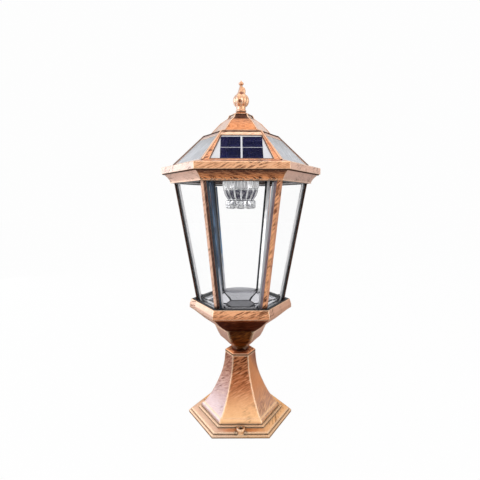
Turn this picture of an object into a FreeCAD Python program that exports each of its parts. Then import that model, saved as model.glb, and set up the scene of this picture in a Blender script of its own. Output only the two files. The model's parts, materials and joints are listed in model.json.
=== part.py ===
import FreeCAD, Part
import math
import os
from types import SimpleNamespace

import Sketcher
from FreeCAD import Placement, Rotation, Vector

# Solar gate light: a six-sided copper lantern that stands on a cast column and wears a solar roof.
# The origin is the centre of the base's bottom face, +Z is up and the front face looks along -Y.
# Lengths are millimetres. The radius of a hexagon is measured to its corners.
SIZES = {
    # Clearances, and how far a cut runs past the solid
    "seat_gap": 0.3,
    "fit_gap": 0.1,
    "overrun": 2.0,
    # Pedestal: four tiers and a concave column
    "flange_radius": 90.0,
    "flange_edge": 3.6,
    "flange_rise": 0.4,
    "tier_chamfer": 0.6,
    "groove_height": 1.0,
    "groove_depth": 1.8,
    "band_setback": 3.8,
    "band_edge": 1.4,
    "band_rise": 1.2,
    "bead_setback": 13.2,
    "bead_edge": 0.8,
    "bead_rise": 0.4,
    "torus_setback": 4.5,
    "torus_edge": 1.4,
    "torus_round_in": 1.1,
    "torus_round_up": 2.4,
    "torus_shoulder_in": 3.0,
    "torus_shoulder_up": 4.4,
    "column_setback": 5.5,
    "column_foot_up": 5.4,
    "column_top_radius": 26.0,
    "column_height": 92.6,
    "column_wall": 3.5,
    "column_top_plate": 8.0,
    "pedestal_rim": 10.0,
    "pedestal_rim_edge": 0.9,
    "pedestal_rim_height": 8.0,
    "pedestal_rim_flare": 5.4,
    "anchor_inset": 7.442,
    "anchor_boss_radius": 6.7,
    "anchor_boss_height": 13.2,
    "anchor_boss_chamfer": 0.8,
    "anchor_hole_diameter": 5.5,
    # Collar, neck and bowl
    "collar_spigot_radius": 22.0,
    "collar_spigot_height": 1.0,
    "collar_radius": 25.8,
    "collar_edge": 1.5,
    "collar_top_radius": 21.0,
    "collar_chamfer_height": 2.5,
    "neck_foot_radius": 14.5,
    "neck_foot_height": 4.5,
    "neck_flare_radius": 18.0,
    "neck_flare_height": 6.5,
    "neck_low_radius": 26.7,
    "neck_low_height": 15.0,
    "neck_waist_radius": 34.0,
    "neck_waist_height": 21.0,
    "neck_shoulder_radius": 38.5,
    "neck_shoulder_height": 29.0,
    "neck_top_radius": 44.5,
    "neck_height": 42.5,
    "neck_wall": 4.0,
    "neck_floor": 6.0,
    "bowl_foot_radius": 46.0,
    "bowl_bevel_in": 23.0,
    "bowl_bevel_rise": 10.0,
    "bowl_flank_in": 4.0,
    "bowl_flank_rise": 15.0,
    "bowl_belt_out": 3.0,
    "bowl_belt_chamfer": 4.5,
    "bowl_belt_draft": 0.2,
    "bowl_belt_rise": 6.0,
    "bowl_rim_rise": 8.5,
    "bowl_rim_width": 4.0,
    "bowl_rim_margin": 5.2,
    "bowl_ledge_width": 3.5,
    "bowl_ledge_drop": 7.0,
    "bowl_wall": 4.0,
    "bowl_floor": 3.5,
    # Clamp rod
    "rod_diameter": 10.0,
    "rod_hole_clearance": 0.5,
    "rod_end": 3.0,
    "nut_radius": 9.24,
    "nut_height": 8.0,
    "washer_radius": 10.0,
    "washer_thickness": 2.0,
    # Sill, its seal and the reflector tray
    "sill_thickness": 3.5,
    "sill_width": 16.8,
    "sill_seal_height": 3.2,
    "tray_sheet": 1.2,
    "tray_rim_sheet": 1.8,
    "tray_lip_height": 3.0,
    "tray_lip_width": 1.3,
    "tray_floor_radius": 30.0,
    "tray_depth": 8.2,
    "tray_plate_gap": 1.3,
    "tray_plate_thickness": 1.0,
    # Cage
    "ridge_low_radius": 74.8,
    "ridge_high_radius": 112.2,
    "bar_height": 208.5,
    "bar_half_width": 4.65,
    "bar_back_half_width": 3.8,
    "bar_fold_depth": 1.2,
    "bar_edge_depth": 2.4,
    "bar_depth": 3.2,
    "pane_thickness": 3.0,
    "pane_setback": 1.5,
    "pane_side_gap": 5.2,
    "seal_web_half_width": 2.1,
    "seal_head_half_width": 4.4,
    "seal_back_depth": 9.0,
    "head_seal_height": 3.5,
    "head_seal_drop": 10.8,
    # Fascia under the eave
    "fascia_lip_wall": 2.97,
    "fascia_lip_height": 1.8,
    "fascia_lip_step": 0.4,
    "fascia_cove_low_out": 2.2,
    "fascia_cove_low_height": 6.0,
    "fascia_cove_mid_out": 6.2,
    "fascia_cove_mid_height": 10.5,
    "fascia_top_out": 11.8,
    "fascia_height": 15.0,
    "fascia_flange_thickness": 3.0,
    "fascia_screw_margin": 4.85,
    "fascia_recess_step": 5.0,
    # Roof
    "eave_overhang": 3.2,
    "eave_edge": 9.5,
    "eave_chamfer": 1.0,
    "eave_inset": 7.0,
    "eave_inner_height": 7.0,
    "eave_ledge": 20.0,
    "slope_foot_height": 14.0,
    "roof_shoulder": 12.0,
    "slope_head_height": 60.5,
    "roof_top_radius": 49.5,
    "roof_top_rise": 3.5,
    "roof_skin": 5.4,
    "roof_opening_inset": 9.5,
    "roof_ceiling": 3.0,
    "window_foot_rise": 1.2,
    "window_head_drop": 6.2,
    "window_foot_margin": 9.47,
    "window_head_margin": 2.85,
    "window_ledge": 2.0,
    "window_recess": 3.4,
    "board_thickness": 2.2,
    "cell_thickness": 0.4,
    "cell_gap": 2.8,
    "cell_row_gap": 0.9,
    "cell_foot_margin": 0.5,
    "cell_head_margin": 3.0,
    "cell_side_margin": 1.75,
    "infill_thickness": 3.0,
    # Crown
    "crown_low_radius": 42.6,
    "crown_low_height": 7.5,
    "crown_mid_radius": 33.5,
    "crown_mid_rise": 9.0,
    "crown_lip_radius": 21.2,
    "crown_lip_rise": 8.4,
    "crown_riser_radius": 18.8,
    "crown_riser_rise": 5.6,
    "crown_top_radius": 13.2,
    "crown_top_rise": 3.0,
    "crown_spigot_depth": 3.0,
    "crown_wall": 3.8,
    "crown_cavity_step": 0.5,
    "crown_cavity_top_radius": 16.0,
    "crown_cavity_drop": 3.4,
    "crown_panel_depth": 1.2,
    "crown_rib_width": 1.3,
    "crown_panel_foot_margin": 0.5,
    "crown_panel_head_margin": 0.5,
    # Finial
    "finial_flare_radius": 11.3,
    "finial_throat_radius": 7.6,
    "finial_flare_height": 1.8,
    "finial_flare_sag": 0.5,
    "finial_ring_bulge": 1.1,
    "finial_ring_height": 4.2,
    "finial_neck_radius": 8.4,
    "finial_neck_bend": 12.0,
    "finial_neck_height": 6.6,
    "finial_bulb_height": 19.6,
    "finial_bulb_bend": 17.5,
    "finial_notch_radius": 6.4,
    "finial_notch_height": 1.2,
    "finial_cone_radius": 5.4,
    "finial_cone_height": 11.2,
    "finial_tip_neck_radius": 2.0,
    "finial_knob_bulge": 2.2,
    "finial_knob_height": 5.0,
    "finial_point_height": 3.4,
    "petal_centre_radius": 6.2,
    "petal_reach": 6.8,
    "petal_half_width": 5.6,
    "petal_half_height": 9.9,
    "petal_rise": 7.8,
    "leaf_centre_radius": 2.7,
    "leaf_reach": 4.7,
    "leaf_half_width": 2.9,
    "leaf_half_height": 7.2,
    "leaf_rise": 1.7,
    "stud_radius": 4.0,
    "stud_length": 20.0,
    "stud_nut_radius": 7.5,
    "stud_nut_height": 6.5,
    # Ceiling plate, its fixings and the lamp
    "ceiling_thickness": 2.0,
    "ceiling_edge_gap": 0.5,
    "lead_hole_radius": 3.0,
    "post_margin": 2.5,
    "post_radius": 4.0,
    "screw_radius": 2.0,
    "screw_head_radius": 3.5,
    "screw_head_height": 2.4,
    "screw_length": 10.0,
    "roof_screw_gap": 1.17,
    "roof_screw_length": 9.0,
    "lens_collar_radius": 29.3,
    "lens_collar_wall": 2.5,
    "lens_collar_height": 21.0,
    "lens_spigot_gap": 0.4,
    "lens_spigot_height": 4.8,
    "lens_shoulder_radius": 29.0,
    "lens_waist_radius": 22.7,
    "lens_body_height": 18.7,
    "lens_skirt_radius": 25.2,
    "lens_skirt_step": 1.0,
    "lens_skirt_height": 13.0,
    "lens_foot_round": 2.0,
    "lens_bore_radius": 18.0,
    "lens_floor": 16.5,
    "lens_shoulder_edge": 1.2,
    "lens_dimple_radius": 15.0,
    "lens_dimple_height": 4.0,
    "lens_dimple_bend": 30.0,
    "flute_radius": 3.6,
    "flute_low_radius": 2.9,
    "flute_depth": 1.7,
    "scallop_radius": 2.6,
    "scallop_depth": 1.3,
    "led_board_gap": 1.8,
    "led_board_thickness": 1.6,
    "led_chip_size": 3.6,
    "led_chip_thickness": 0.8,
    "led_circle_radius": 9.0,
    # Power, control and switch, on the ceiling plate
    "battery_spring_room": 10.2,
    "battery_bay_gap": 0.4,
    "battery_box_height": 21.0,
    "battery_box_wall": 1.6,
    "battery_box_setback": 5.0,
    "cell_radius": 9.1,
    "cell_length": 65.0,
    "cell_cap_radius": 3.0,
    "cell_cap_length": 1.6,
    "control_length": 50.0,
    "control_width": 26.0,
    "control_thickness": 1.6,
    "control_standoff": 4.0,
    "control_setback": 11.0,
    "standoff_radius": 2.6,
    "standoff_inset": 4.0,
    "coil_radius": 5.0,
    "coil_height": 7.0,
    "chip_length": 9.0,
    "chip_width": 6.0,
    "chip_height": 1.8,
    "plug_length": 12.0,
    "plug_width": 6.0,
    "plug_height": 6.5,
    "switch_gap": 2.2,
    "switch_flange_width": 1.2,
    "switch_flange_thickness": 2.0,
    "switch_wall": 1.4,
    "switch_barrel_height": 12.0,
    "switch_bore_gap": 0.4,
    "switch_bore_depth": 8.0,
    "button_radius": 4.0,
    "button_reach": 4.0,
    "button_travel": 1.8,
    "button_round": 0.8,
}

# Heights up the column against the part of its flare that is left, each from 0 to 1
COLUMN_SHARES = [(0, 1), (0.1, 0.80), (0.26, 0.55), (0.45, 0.32), (0.65, 0.13), (0.85, 0.03), (1, 0)]
# A face of a hexagon lies this share of the corner radius from the axis
APOTHEM_SHARE = math.sqrt(3) / 2
HALF_SIDE_SHARE = 1 / math.sqrt(3)
FLUTES = 16

FACES = {"front": 270, "front_right": 330, "rear_right": 30, "rear": 90, "rear_left": 150, "front_left": 210}
CORNERS = {"right": 0, "rear_right": 60, "rear_left": 120,
           "left": 180, "front_left": 240, "front_right": 300}
SOLAR_FACES = ("front", "rear_left", "rear_right")
CUTS = ("PartDesign::Pocket", "PartDesign::Groove", "PartDesign::SubtractiveLoft")


class Size:
    """A length with the formula that gives it from the spreadsheet."""

    def __init__(self, value, formula):
        self.value = value
        self.formula = formula

    def __add__(self, other):
        return Size(self.value + value_of(other), "(%s + %s)" % (self.formula, formula_of(other)))

    def __sub__(self, other):
        return Size(self.value - value_of(other), "(%s - %s)" % (self.formula, formula_of(other)))

    def __mul__(self, other):
        return Size(self.value * value_of(other), "(%s * %s)" % (self.formula, formula_of(other)))

    def __truediv__(self, other):
        return Size(self.value / value_of(other), "(%s / %s)" % (self.formula, formula_of(other)))

    def __neg__(self):
        return Size(-self.value, "(-%s)" % self.formula)


def value_of(length):
    return length.value if isinstance(length, Size) else length


def formula_of(length):
    return length.formula if isinstance(length, Size) else repr(length)


def make_sheet():
    """Writes the sizes into a spreadsheet, one named row each."""
    sheet = document.addObject("Spreadsheet::Sheet", "Sizes")
    for row, (name, value) in enumerate(SIZES.items(), start=1):
        sheet.set("A%d" % row, name)
        sheet.set("B%d" % row, str(value))
        sheet.setAlias("B%d" % row, name)
    document.recompute()


document = FreeCAD.newDocument("SolarGateLight")
make_sheet()
mm = SimpleNamespace(**{name: Size(value, "Sizes." + name) for name, value in SIZES.items()})
bodies = []


def new_body(name):
    body = document.addObject("PartDesign::Body", name)
    body.Label = name
    bodies.append(body)
    return body


def place(body, level, turn=0, back=0):
    """Stands a body at a level, turned about its own axis and moved back towards +Y."""
    body.Placement = Placement(Vector(0, 0, 0), Rotation(Vector(0, 0, 1), turn))
    body.setExpression("Placement.Base.z", level.formula)
    if isinstance(back, Size):
        body.setExpression("Placement.Base.y", back.formula)


def origin_feature(body, role):
    return [feature for feature in body.Origin.OriginFeatures if feature.Role == role][0]


def new_sketch(body, role, level):
    sketch = body.newObject("Sketcher::SketchObject", "Outline")
    sketch.AttachmentSupport = [(origin_feature(body, role), "")]
    sketch.MapMode = "FlatFace"
    if isinstance(level, Size):
        sketch.setExpression("AttachmentOffset.Base.z", level.formula)
    return sketch


def pin(sketch, end, direction, length, axis):
    """Holds one coordinate of a corner: on an axis when it is zero, else at a distance from the origin."""
    edge, side = end
    if value_of(length) == 0:
        sketch.addConstraint(Sketcher.Constraint("PointOnObject", edge, side, axis))
        return
    index = sketch.addConstraint(Sketcher.Constraint(direction, -1, 1, edge, side, value_of(length)))
    sketch.setExpression("Constraints[%d]" % index, formula_of(length))


def arc_edge(start, end, radius, bow):
    """An arc of less than half a turn that bows to the left of its run (bow 1) or to the right (bow -1)."""
    run = end - start
    left = Vector(-run.y, run.x, 0).normalize()
    rise = radius - math.sqrt(radius ** 2 - (run.Length / 2) ** 2)
    return Part.Arc(start, (start + end) / 2 + left * (bow * rise), end)


def outline(body, role, level, points):
    """A closed sketch through points (x, y), where (x, y, radius, bow) starts an arc to the next point."""
    sketch = new_sketch(body, role, level)
    corners = [Vector(value_of(point[0]), value_of(point[1]), 0) for point in points]
    starts = []
    ends = []
    for index, point in enumerate(points):
        after = corners[(index + 1) % len(points)]
        if len(point) == 2:
            sketch.addGeometry(Part.LineSegment(corners[index], after), False)
        else:
            sketch.addGeometry(arc_edge(corners[index], after, value_of(point[2]), point[3]), False)
        backwards = len(point) > 2 and point[3] == 1
        starts.append((index, 2 if backwards else 1))
        ends.append((index, 1 if backwards else 2))
    for index in range(len(points)):
        sketch.addConstraint(Sketcher.Constraint("Coincident", *ends[index - 1], *starts[index]))
    for index, point in enumerate(points):
        pin(sketch, starts[index], "DistanceX", point[0], -2)
        pin(sketch, starts[index], "DistanceY", point[1], -1)
        if len(point) > 2:
            bend = sketch.addConstraint(Sketcher.Constraint("Radius", index, value_of(point[2])))
            sketch.setExpression("Constraints[%d]" % bend, formula_of(point[2]))
    return sketch


def hexagon(body, radius, level, flat=False):
    """A regular hexagon on the lamp's axis, with a corner on +X or, when flat, the middle of a side."""
    sketch = new_sketch(body, "XY_Plane", level)
    reach = value_of(radius)
    corners = [Vector(reach * math.cos(math.radians(turn)), reach * math.sin(math.radians(turn)), 0)
               for turn in range(-30 if flat else 0, 330, 60)]
    for side in range(6):
        sketch.addGeometry(Part.LineSegment(corners[side - 1], corners[side]), False)
    sketch.addGeometry(Part.Circle(Vector(0, 0, 0), Vector(0, 0, 1), reach), True)
    for side in range(6):
        sketch.addConstraint(Sketcher.Constraint("Coincident", side, 2, (side + 1) % 6, 1))
        sketch.addConstraint(Sketcher.Constraint("PointOnObject", side, 2, 6))
    for side in range(1, 6):
        sketch.addConstraint(Sketcher.Constraint("Equal", 0, side))
    sketch.addConstraint(Sketcher.Constraint("Coincident", 6, 3, -1, 1))
    sketch.addConstraint(Sketcher.Constraint("Vertical", 1) if flat
                         else Sketcher.Constraint("PointOnObject", 0, 2, -1))
    index = sketch.addConstraint(Sketcher.Constraint("Radius", 6, reach))
    sketch.setExpression("Constraints[%d]" % index, formula_of(radius))
    return sketch


def circle(body, radius, level, centre=(0, 0), role="XY_Plane"):
    sketch = new_sketch(body, role, level)
    middle = Vector(value_of(centre[0]), value_of(centre[1]), 0)
    sketch.addGeometry(Part.Circle(middle, Vector(0, 0, 1), value_of(radius)), False)
    pin(sketch, (0, 3), "DistanceX", centre[0], -2)
    pin(sketch, (0, 3), "DistanceY", centre[1], -1)
    index = sketch.addConstraint(Sketcher.Constraint("Radius", 0, value_of(radius)))
    sketch.setExpression("Constraints[%d]" % index, formula_of(radius))
    return sketch


def rectangle(body, level, low, high):
    """A level rectangle between two corners, each (x, y)."""
    corners = [low, (high[0], low[1]), high, (low[0], high[1])]
    return outline(body, "XY_Plane", level, corners)


def pad(body, sketch, length):
    feature = body.newObject("PartDesign::Pad", "Pad")
    feature.Profile = sketch
    feature.setExpression("Length", length.formula)
    return feature


def pocket(body, sketch, length):
    """Cuts upwards from the sketch."""
    feature = body.newObject("PartDesign::Pocket", "Pocket")
    feature.Profile = sketch
    feature.Reversed = True
    feature.setExpression("Length", length.formula)
    return feature


def loft(body, sections, ruled=True, cut=False):
    feature = body.newObject("PartDesign::SubtractiveLoft" if cut else "PartDesign::AdditiveLoft", "Loft")
    feature.Profile = sections[0]
    feature.Sections = sections[1:]
    feature.Ruled = ruled
    return feature


def hexagon_loft(body, sections, ruled=True, cut=False, flat=False):
    """Joins level hexagons, each (radius, level), with flat bands or with one smooth curve."""
    return loft(body, [hexagon(body, radius, level, flat) for radius, level in sections], ruled, cut)


def turned(body, points, cut=False):
    """Turns a profile of (radius, level) points about the body's own Z axis."""
    sketch = outline(body, "XZ_Plane", 0, points)
    feature = body.newObject("PartDesign::Groove" if cut else "PartDesign::Revolution", "Turning")
    feature.Profile = sketch
    feature.ReferenceAxis = (sketch, ["V_Axis"])
    feature.Angle = 360
    return feature


def pattern(body, features, count):
    """Repeats features evenly round the axis."""
    feature = body.newObject("PartDesign::PolarPattern", "Pattern")
    feature.Originals = features
    feature.Axis = (origin_feature(body, "Z_Axis"), [""])
    feature.Angle = 360
    feature.Occurrences = count
    body.Tip = feature
    return feature


def ellipsoid(body, centre_radius, level, half_height, reach, half_width):
    """An upright egg centred out along +X."""
    feature = body.newObject("PartDesign::AdditiveEllipsoid", "Lobe")
    feature.AttachmentSupport = [(origin_feature(body, "XY_Plane"), "")]
    feature.MapMode = "FlatFace"
    feature.setExpression("AttachmentOffset.Base.x", centre_radius.formula)
    feature.setExpression("AttachmentOffset.Base.z", level.formula)
    feature.setExpression("Radius1", half_height.formula)
    feature.setExpression("Radius2", reach.formula)
    feature.setExpression("Radius3", half_width.formula)
    return feature


def between(low, high, low_value, high_value, level):
    """The size at a level on the straight line from (low, low_value) to (high, high_value)."""
    return low_value + (high_value - low_value) * ((level - low) / (high - low))


# Radii that follow from their neighbours, from the ground up
band_radius = mm.flange_radius - mm.band_setback
bead_radius = band_radius - mm.bead_setback
torus_radius = bead_radius - mm.torus_setback
column_foot = torus_radius - mm.column_setback
anchor_circle = mm.flange_radius * APOTHEM_SHARE - mm.anchor_inset
rod_hole_radius = (mm.rod_diameter + mm.rod_hole_clearance) / 2
bowl_rim_inner = mm.ridge_low_radius + mm.bowl_rim_margin
bowl_ledge_inner = bowl_rim_inner - mm.bowl_ledge_width
bowl_top_radius = bowl_rim_inner + mm.bowl_rim_width
bowl_belt_radius = bowl_top_radius + mm.bowl_belt_out
sill_inner = mm.ridge_low_radius - mm.sill_width
fascia_inner = (mm.ridge_high_radius - mm.bar_fold_depth + mm.bar_half_width * HALF_SIDE_SHARE
                + mm.seat_gap / APOTHEM_SHARE)
fascia_lip = fascia_inner + mm.fascia_lip_wall
fascia_recess = fascia_inner - mm.fascia_recess_step
roof_screw_circle = (mm.ridge_high_radius * APOTHEM_SHARE - mm.pane_setback - mm.pane_thickness
                     - mm.screw_head_radius - mm.roof_screw_gap)
fascia_hole = (roof_screw_circle - mm.fascia_screw_margin) / APOTHEM_SHARE
post_circle = fascia_hole - mm.screw_head_radius - mm.post_margin
eave_radius = fascia_lip + mm.fascia_top_out + mm.eave_overhang
slope_foot = eave_radius - mm.eave_ledge
slope_head = mm.roof_top_radius + mm.roof_shoulder
roof_opening = mm.roof_top_radius - mm.roof_opening_inset
switch_bore = mm.button_radius + mm.switch_bore_gap
switch_barrel = switch_bore + mm.switch_wall
control_centre = mm.control_setback + mm.control_width / 2
switch_centre = mm.control_setback + mm.control_width + mm.switch_gap + switch_barrel

# Levels at which the castings meet
ground = Size(0, "0")
flange_top = mm.flange_edge + mm.tier_chamfer + mm.flange_rise
band_level = flange_top + mm.groove_height
bead_level = band_level + mm.band_edge + mm.tier_chamfer + mm.band_rise + mm.groove_height
torus_level = bead_level + mm.bead_edge + mm.tier_chamfer + mm.bead_rise + mm.groove_height
column_level = torus_level + mm.torus_edge + mm.column_foot_up
column_top = column_level + mm.column_height
collar_height = mm.collar_spigot_height + mm.collar_edge + mm.collar_chamfer_height
neck_level = column_top + collar_height
bowl_level = neck_level + mm.neck_height
bowl_flank_height = mm.bowl_bevel_rise + mm.bowl_flank_rise
bowl_belt_height = bowl_flank_height + mm.bowl_belt_chamfer
bowl_height = bowl_belt_height + mm.bowl_belt_rise + mm.bowl_rim_rise
ledge_level = bowl_level + bowl_height - mm.bowl_ledge_drop
sill_top = ledge_level + mm.sill_thickness
flange_level = sill_top + mm.bar_height
ceiling_level = flange_level + mm.fascia_flange_thickness
roof_level = ceiling_level + mm.ceiling_thickness
fascia_level = roof_level - mm.fascia_height
roof_height = mm.slope_head_height + mm.roof_top_rise
crown_level = roof_level + roof_height
crown_mid_height = mm.crown_low_height + mm.crown_mid_rise
crown_lip_height = crown_mid_height + mm.crown_lip_rise
crown_riser_height = crown_lip_height + mm.crown_riser_rise
crown_cavity_height = crown_lip_height - mm.crown_cavity_drop
finial_level = crown_level + crown_riser_height + mm.crown_top_rise


def tier(body, radius, level, edge, rise, next_radius):
    """One step of the base: upright edge, chamfer, sloping top and the groove under the next step."""
    groove_radius = next_radius - mm.groove_depth
    groove_level = level + edge + mm.tier_chamfer + rise
    hexagon_loft(body, [
        (radius, level),
        (radius, level + edge),
        (radius - mm.tier_chamfer, level + edge + mm.tier_chamfer),
        (groove_radius, groove_level),
        (groove_radius, groove_level + mm.groove_height),
    ])


def make_pedestal():
    """The stepped base and the concave column, cast in one and open below."""
    body = new_body("pedestal")
    tier(body, mm.flange_radius, ground, mm.flange_edge, mm.flange_rise, band_radius)
    tier(body, band_radius, band_level, mm.band_edge, mm.band_rise, bead_radius)
    tier(body, bead_radius, bead_level, mm.bead_edge, mm.bead_rise, torus_radius)
    torus_top = torus_level + mm.torus_edge
    hexagon_loft(body, [
        (torus_radius, torus_level),
        (torus_radius, torus_top),
        (torus_radius - mm.torus_round_in, torus_top + mm.torus_round_up),
        (torus_radius - mm.torus_shoulder_in, torus_top + mm.torus_shoulder_up),
        (column_foot, column_level),
    ])
    flare = column_foot - mm.column_top_radius
    hexagon_loft(body, [(mm.column_top_radius + flare * left, column_level + mm.column_height * up)
                        for up, left in COLUMN_SHARES], ruled=False)
    make_pedestal_cavity(body, flare)
    add_anchor_bosses(body)


def make_pedestal_cavity(body, flare):
    """Hollows the pedestal from below and drills its top plate for the clamp rod."""
    foot_inner = column_foot - mm.column_wall
    hexagon_loft(body, [
        (mm.flange_radius - mm.pedestal_rim, -mm.overrun),
        (mm.flange_radius - mm.pedestal_rim, mm.pedestal_rim_edge),
        (foot_inner + mm.pedestal_rim_flare, mm.pedestal_rim_height),
        (foot_inner, column_level),
    ], cut=True)
    rise = mm.column_height - mm.column_top_plate
    hexagon_loft(body, [(mm.column_top_radius - mm.column_wall + flare * left, column_level + rise * up)
                        for up, left in COLUMN_SHARES], ruled=False, cut=True)
    pocket(body, circle(body, rod_hole_radius, column_top - mm.column_top_plate - mm.overrun),
           mm.column_top_plate + mm.overrun * 2)


def add_anchor_bosses(body):
    """Two bosses with a bolt hole each, on the front and rear faces of the base."""
    centre = (0, -anchor_circle)
    top = mm.anchor_boss_height - mm.anchor_boss_chamfer
    boss = pad(body, circle(body, mm.anchor_boss_radius, 0, centre), top)
    cap_radius = mm.anchor_boss_radius - mm.anchor_boss_chamfer
    cap = loft(body, [circle(body, mm.anchor_boss_radius, top, centre),
                      circle(body, cap_radius, mm.anchor_boss_height, centre)])
    pattern(body, [boss, cap], 2)
    hole = pocket(body, circle(body, mm.anchor_hole_diameter / 2, -mm.overrun, centre),
                  mm.anchor_boss_height + mm.overrun * 2)
    pattern(body, [hole], 2)


def make_collar():
    """A bevelled plate on a narrower spigot, which leaves a dark line over the column."""
    body = new_body("collar")
    plate_top = mm.collar_spigot_height + mm.collar_edge
    pad(body, hexagon(body, mm.collar_spigot_radius, 0), mm.collar_spigot_height)
    hexagon_loft(body, [(mm.collar_radius, mm.collar_spigot_height), (mm.collar_radius, plate_top),
                        (mm.collar_top_radius, collar_height)])
    pocket(body, circle(body, rod_hole_radius, -mm.overrun), collar_height + mm.overrun * 2)
    place(body, column_top)


def make_neck():
    """A hexagonal cup that flares up to the bowl, with a solid floor for the clamp rod."""
    body = new_body("neck")
    hexagon_loft(body, [
        (mm.neck_foot_radius, 0),
        (mm.neck_foot_radius, mm.neck_foot_height),
        (mm.neck_flare_radius, mm.neck_flare_height),
        (mm.neck_low_radius, mm.neck_low_height),
        (mm.neck_waist_radius, mm.neck_waist_height),
        (mm.neck_shoulder_radius, mm.neck_shoulder_height),
        (mm.neck_top_radius, mm.neck_height),
    ])
    top_inner = mm.neck_top_radius - mm.neck_wall
    hexagon_loft(body, [
        (mm.neck_flare_radius - mm.neck_wall - mm.neck_wall / 2, mm.neck_floor),
        (mm.neck_low_radius - mm.neck_wall, mm.neck_low_height),
        (mm.neck_waist_radius - mm.neck_wall, mm.neck_waist_height),
        (mm.neck_shoulder_radius - mm.neck_wall, mm.neck_shoulder_height),
        (top_inner, mm.neck_height),
        (top_inner, mm.neck_height + mm.overrun),
    ], cut=True)
    pocket(body, circle(body, rod_hole_radius, -mm.overrun), mm.neck_floor + mm.overrun * 2)
    place(body, neck_level)


def make_bowl():
    """The hexagonal dish: bevelled underside, upright belt, and a ledge inside its rim for the sill."""
    body = new_body("bowl")
    hexagon_loft(body, [
        (mm.bowl_foot_radius, 0),
        (bowl_top_radius - mm.bowl_bevel_in, mm.bowl_bevel_rise),
        (bowl_top_radius - mm.bowl_flank_in, bowl_flank_height),
        (bowl_belt_radius, bowl_belt_height),
        (bowl_belt_radius - mm.bowl_belt_draft, bowl_belt_height + mm.bowl_belt_rise),
        (bowl_top_radius, bowl_height),
    ])
    ledge = bowl_height - mm.bowl_ledge_drop
    hexagon_loft(body, [
        (mm.bowl_foot_radius - mm.bowl_wall - mm.overrun, mm.bowl_floor),
        (bowl_top_radius - mm.bowl_bevel_in - mm.bowl_wall, mm.bowl_bevel_rise + mm.bowl_wall),
        (bowl_ledge_inner, bowl_belt_height + mm.overrun),
        (bowl_ledge_inner, ledge + mm.overrun),
    ], cut=True)
    pocket(body, hexagon(body, bowl_rim_inner, ledge), mm.bowl_ledge_drop + mm.overrun)
    pocket(body, circle(body, rod_hole_radius, -mm.overrun), mm.bowl_floor + mm.overrun * 2)
    place(body, bowl_level)


def make_clamp():
    """The threaded rod that holds the castings together, with a washer and nut at each end."""
    lower_seat = column_top - mm.column_top_plate
    upper_seat = bowl_level + mm.bowl_floor
    stack = mm.washer_thickness + mm.nut_height
    rod_low = lower_seat - stack - mm.rod_end
    rod = new_body("tie_rod")
    pad(rod, circle(rod, mm.rod_diameter / 2, 0), upper_seat + stack + mm.rod_end - rod_low)
    place(rod, rod_low)
    bore = mm.rod_diameter / 2 + mm.fit_gap
    nuts = new_body("rod_nuts")
    for level in (lower_seat - stack, upper_seat + mm.washer_thickness):
        pad(nuts, hexagon(nuts, mm.nut_radius, level), mm.nut_height)
        pocket(nuts, circle(nuts, bore, level - mm.fit_gap), mm.nut_height + mm.fit_gap * 2)
    washers = new_body("rod_washers")
    for level in (lower_seat - mm.washer_thickness, upper_seat):
        pad(washers, circle(washers, mm.washer_radius, level), mm.washer_thickness)
        pocket(washers, circle(washers, rod_hole_radius, level - mm.fit_gap),
               mm.washer_thickness + mm.fit_gap * 2)


def make_sill():
    """The level ring that closes the bowl's rim and carries the panes and bars, and its seal."""
    frame = new_body("sill_frame")
    outer = bowl_rim_inner - mm.seat_gap
    pad(frame, hexagon(frame, outer, 0), mm.sill_thickness)
    pocket(frame, hexagon(frame, sill_inner, -mm.overrun), mm.sill_thickness + mm.overrun * 2)
    place(frame, ledge_level)
    seal = new_body("sill_seal")
    pad(seal, hexagon(seal, outer, 0), mm.sill_seal_height)
    inner = (ridge(mm.sill_seal_height) - mm.bar_fold_depth + mm.bar_half_width * HALF_SIDE_SHARE
             + mm.fit_gap / APOTHEM_SHARE)
    pocket(seal, hexagon(seal, inner, -mm.overrun), mm.sill_seal_height + mm.overrun * 2)
    place(seal, sill_top)


def make_tray():
    """The reflector: a folded six-sided dish, held in the sill by its rim, and the plate at its middle."""
    body = new_body("tray")
    neck_radius = sill_inner - mm.seat_gap
    rim_radius = mm.ridge_low_radius - mm.seal_back_depth - mm.seat_gap
    rim_level = mm.tray_depth
    lip_top = rim_level + mm.tray_lip_height
    hexagon_loft(body, [(mm.tray_floor_radius, 0), (neck_radius, rim_level)])
    pad(body, hexagon(body, rim_radius, rim_level), mm.tray_lip_height)
    hexagon_loft(body, [
        (mm.tray_floor_radius - mm.tray_sheet, mm.tray_sheet),
        (neck_radius - mm.tray_sheet, rim_level + mm.tray_sheet),
        (rim_radius - mm.tray_lip_width, rim_level + mm.tray_rim_sheet),
        (rim_radius - mm.tray_lip_width, lip_top + mm.overrun),
    ], cut=True)
    place(body, sill_top - mm.tray_depth)
    plate = new_body("tray_plate")
    plate_radius = mm.tray_floor_radius - mm.tray_sheet - mm.tray_plate_gap
    pad(plate, hexagon(plate, plate_radius, 0), mm.tray_plate_thickness)
    place(plate, sill_top - mm.tray_depth + mm.tray_sheet)


def ridge(level):
    """Corner radius of the cage at a height above the sill."""
    return between(ground, mm.bar_height, mm.ridge_low_radius, mm.ridge_high_radius, level)


def make_bar(name, turn):
    """A folded corner bar, wider than the gap between two panes, that leans outwards as it rises."""
    body = new_body(name)
    section = [
        (0, 0),
        (-mm.bar_fold_depth, mm.bar_half_width),
        (-mm.bar_edge_depth, mm.bar_half_width),
        (-mm.bar_depth, mm.bar_back_half_width),
        (-mm.bar_depth, -mm.bar_back_half_width),
        (-mm.bar_edge_depth, -mm.bar_half_width),
        (-mm.bar_fold_depth, -mm.bar_half_width),
    ]
    leaning(body, section, 0, mm.bar_height)
    place(body, sill_top, turn)


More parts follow.
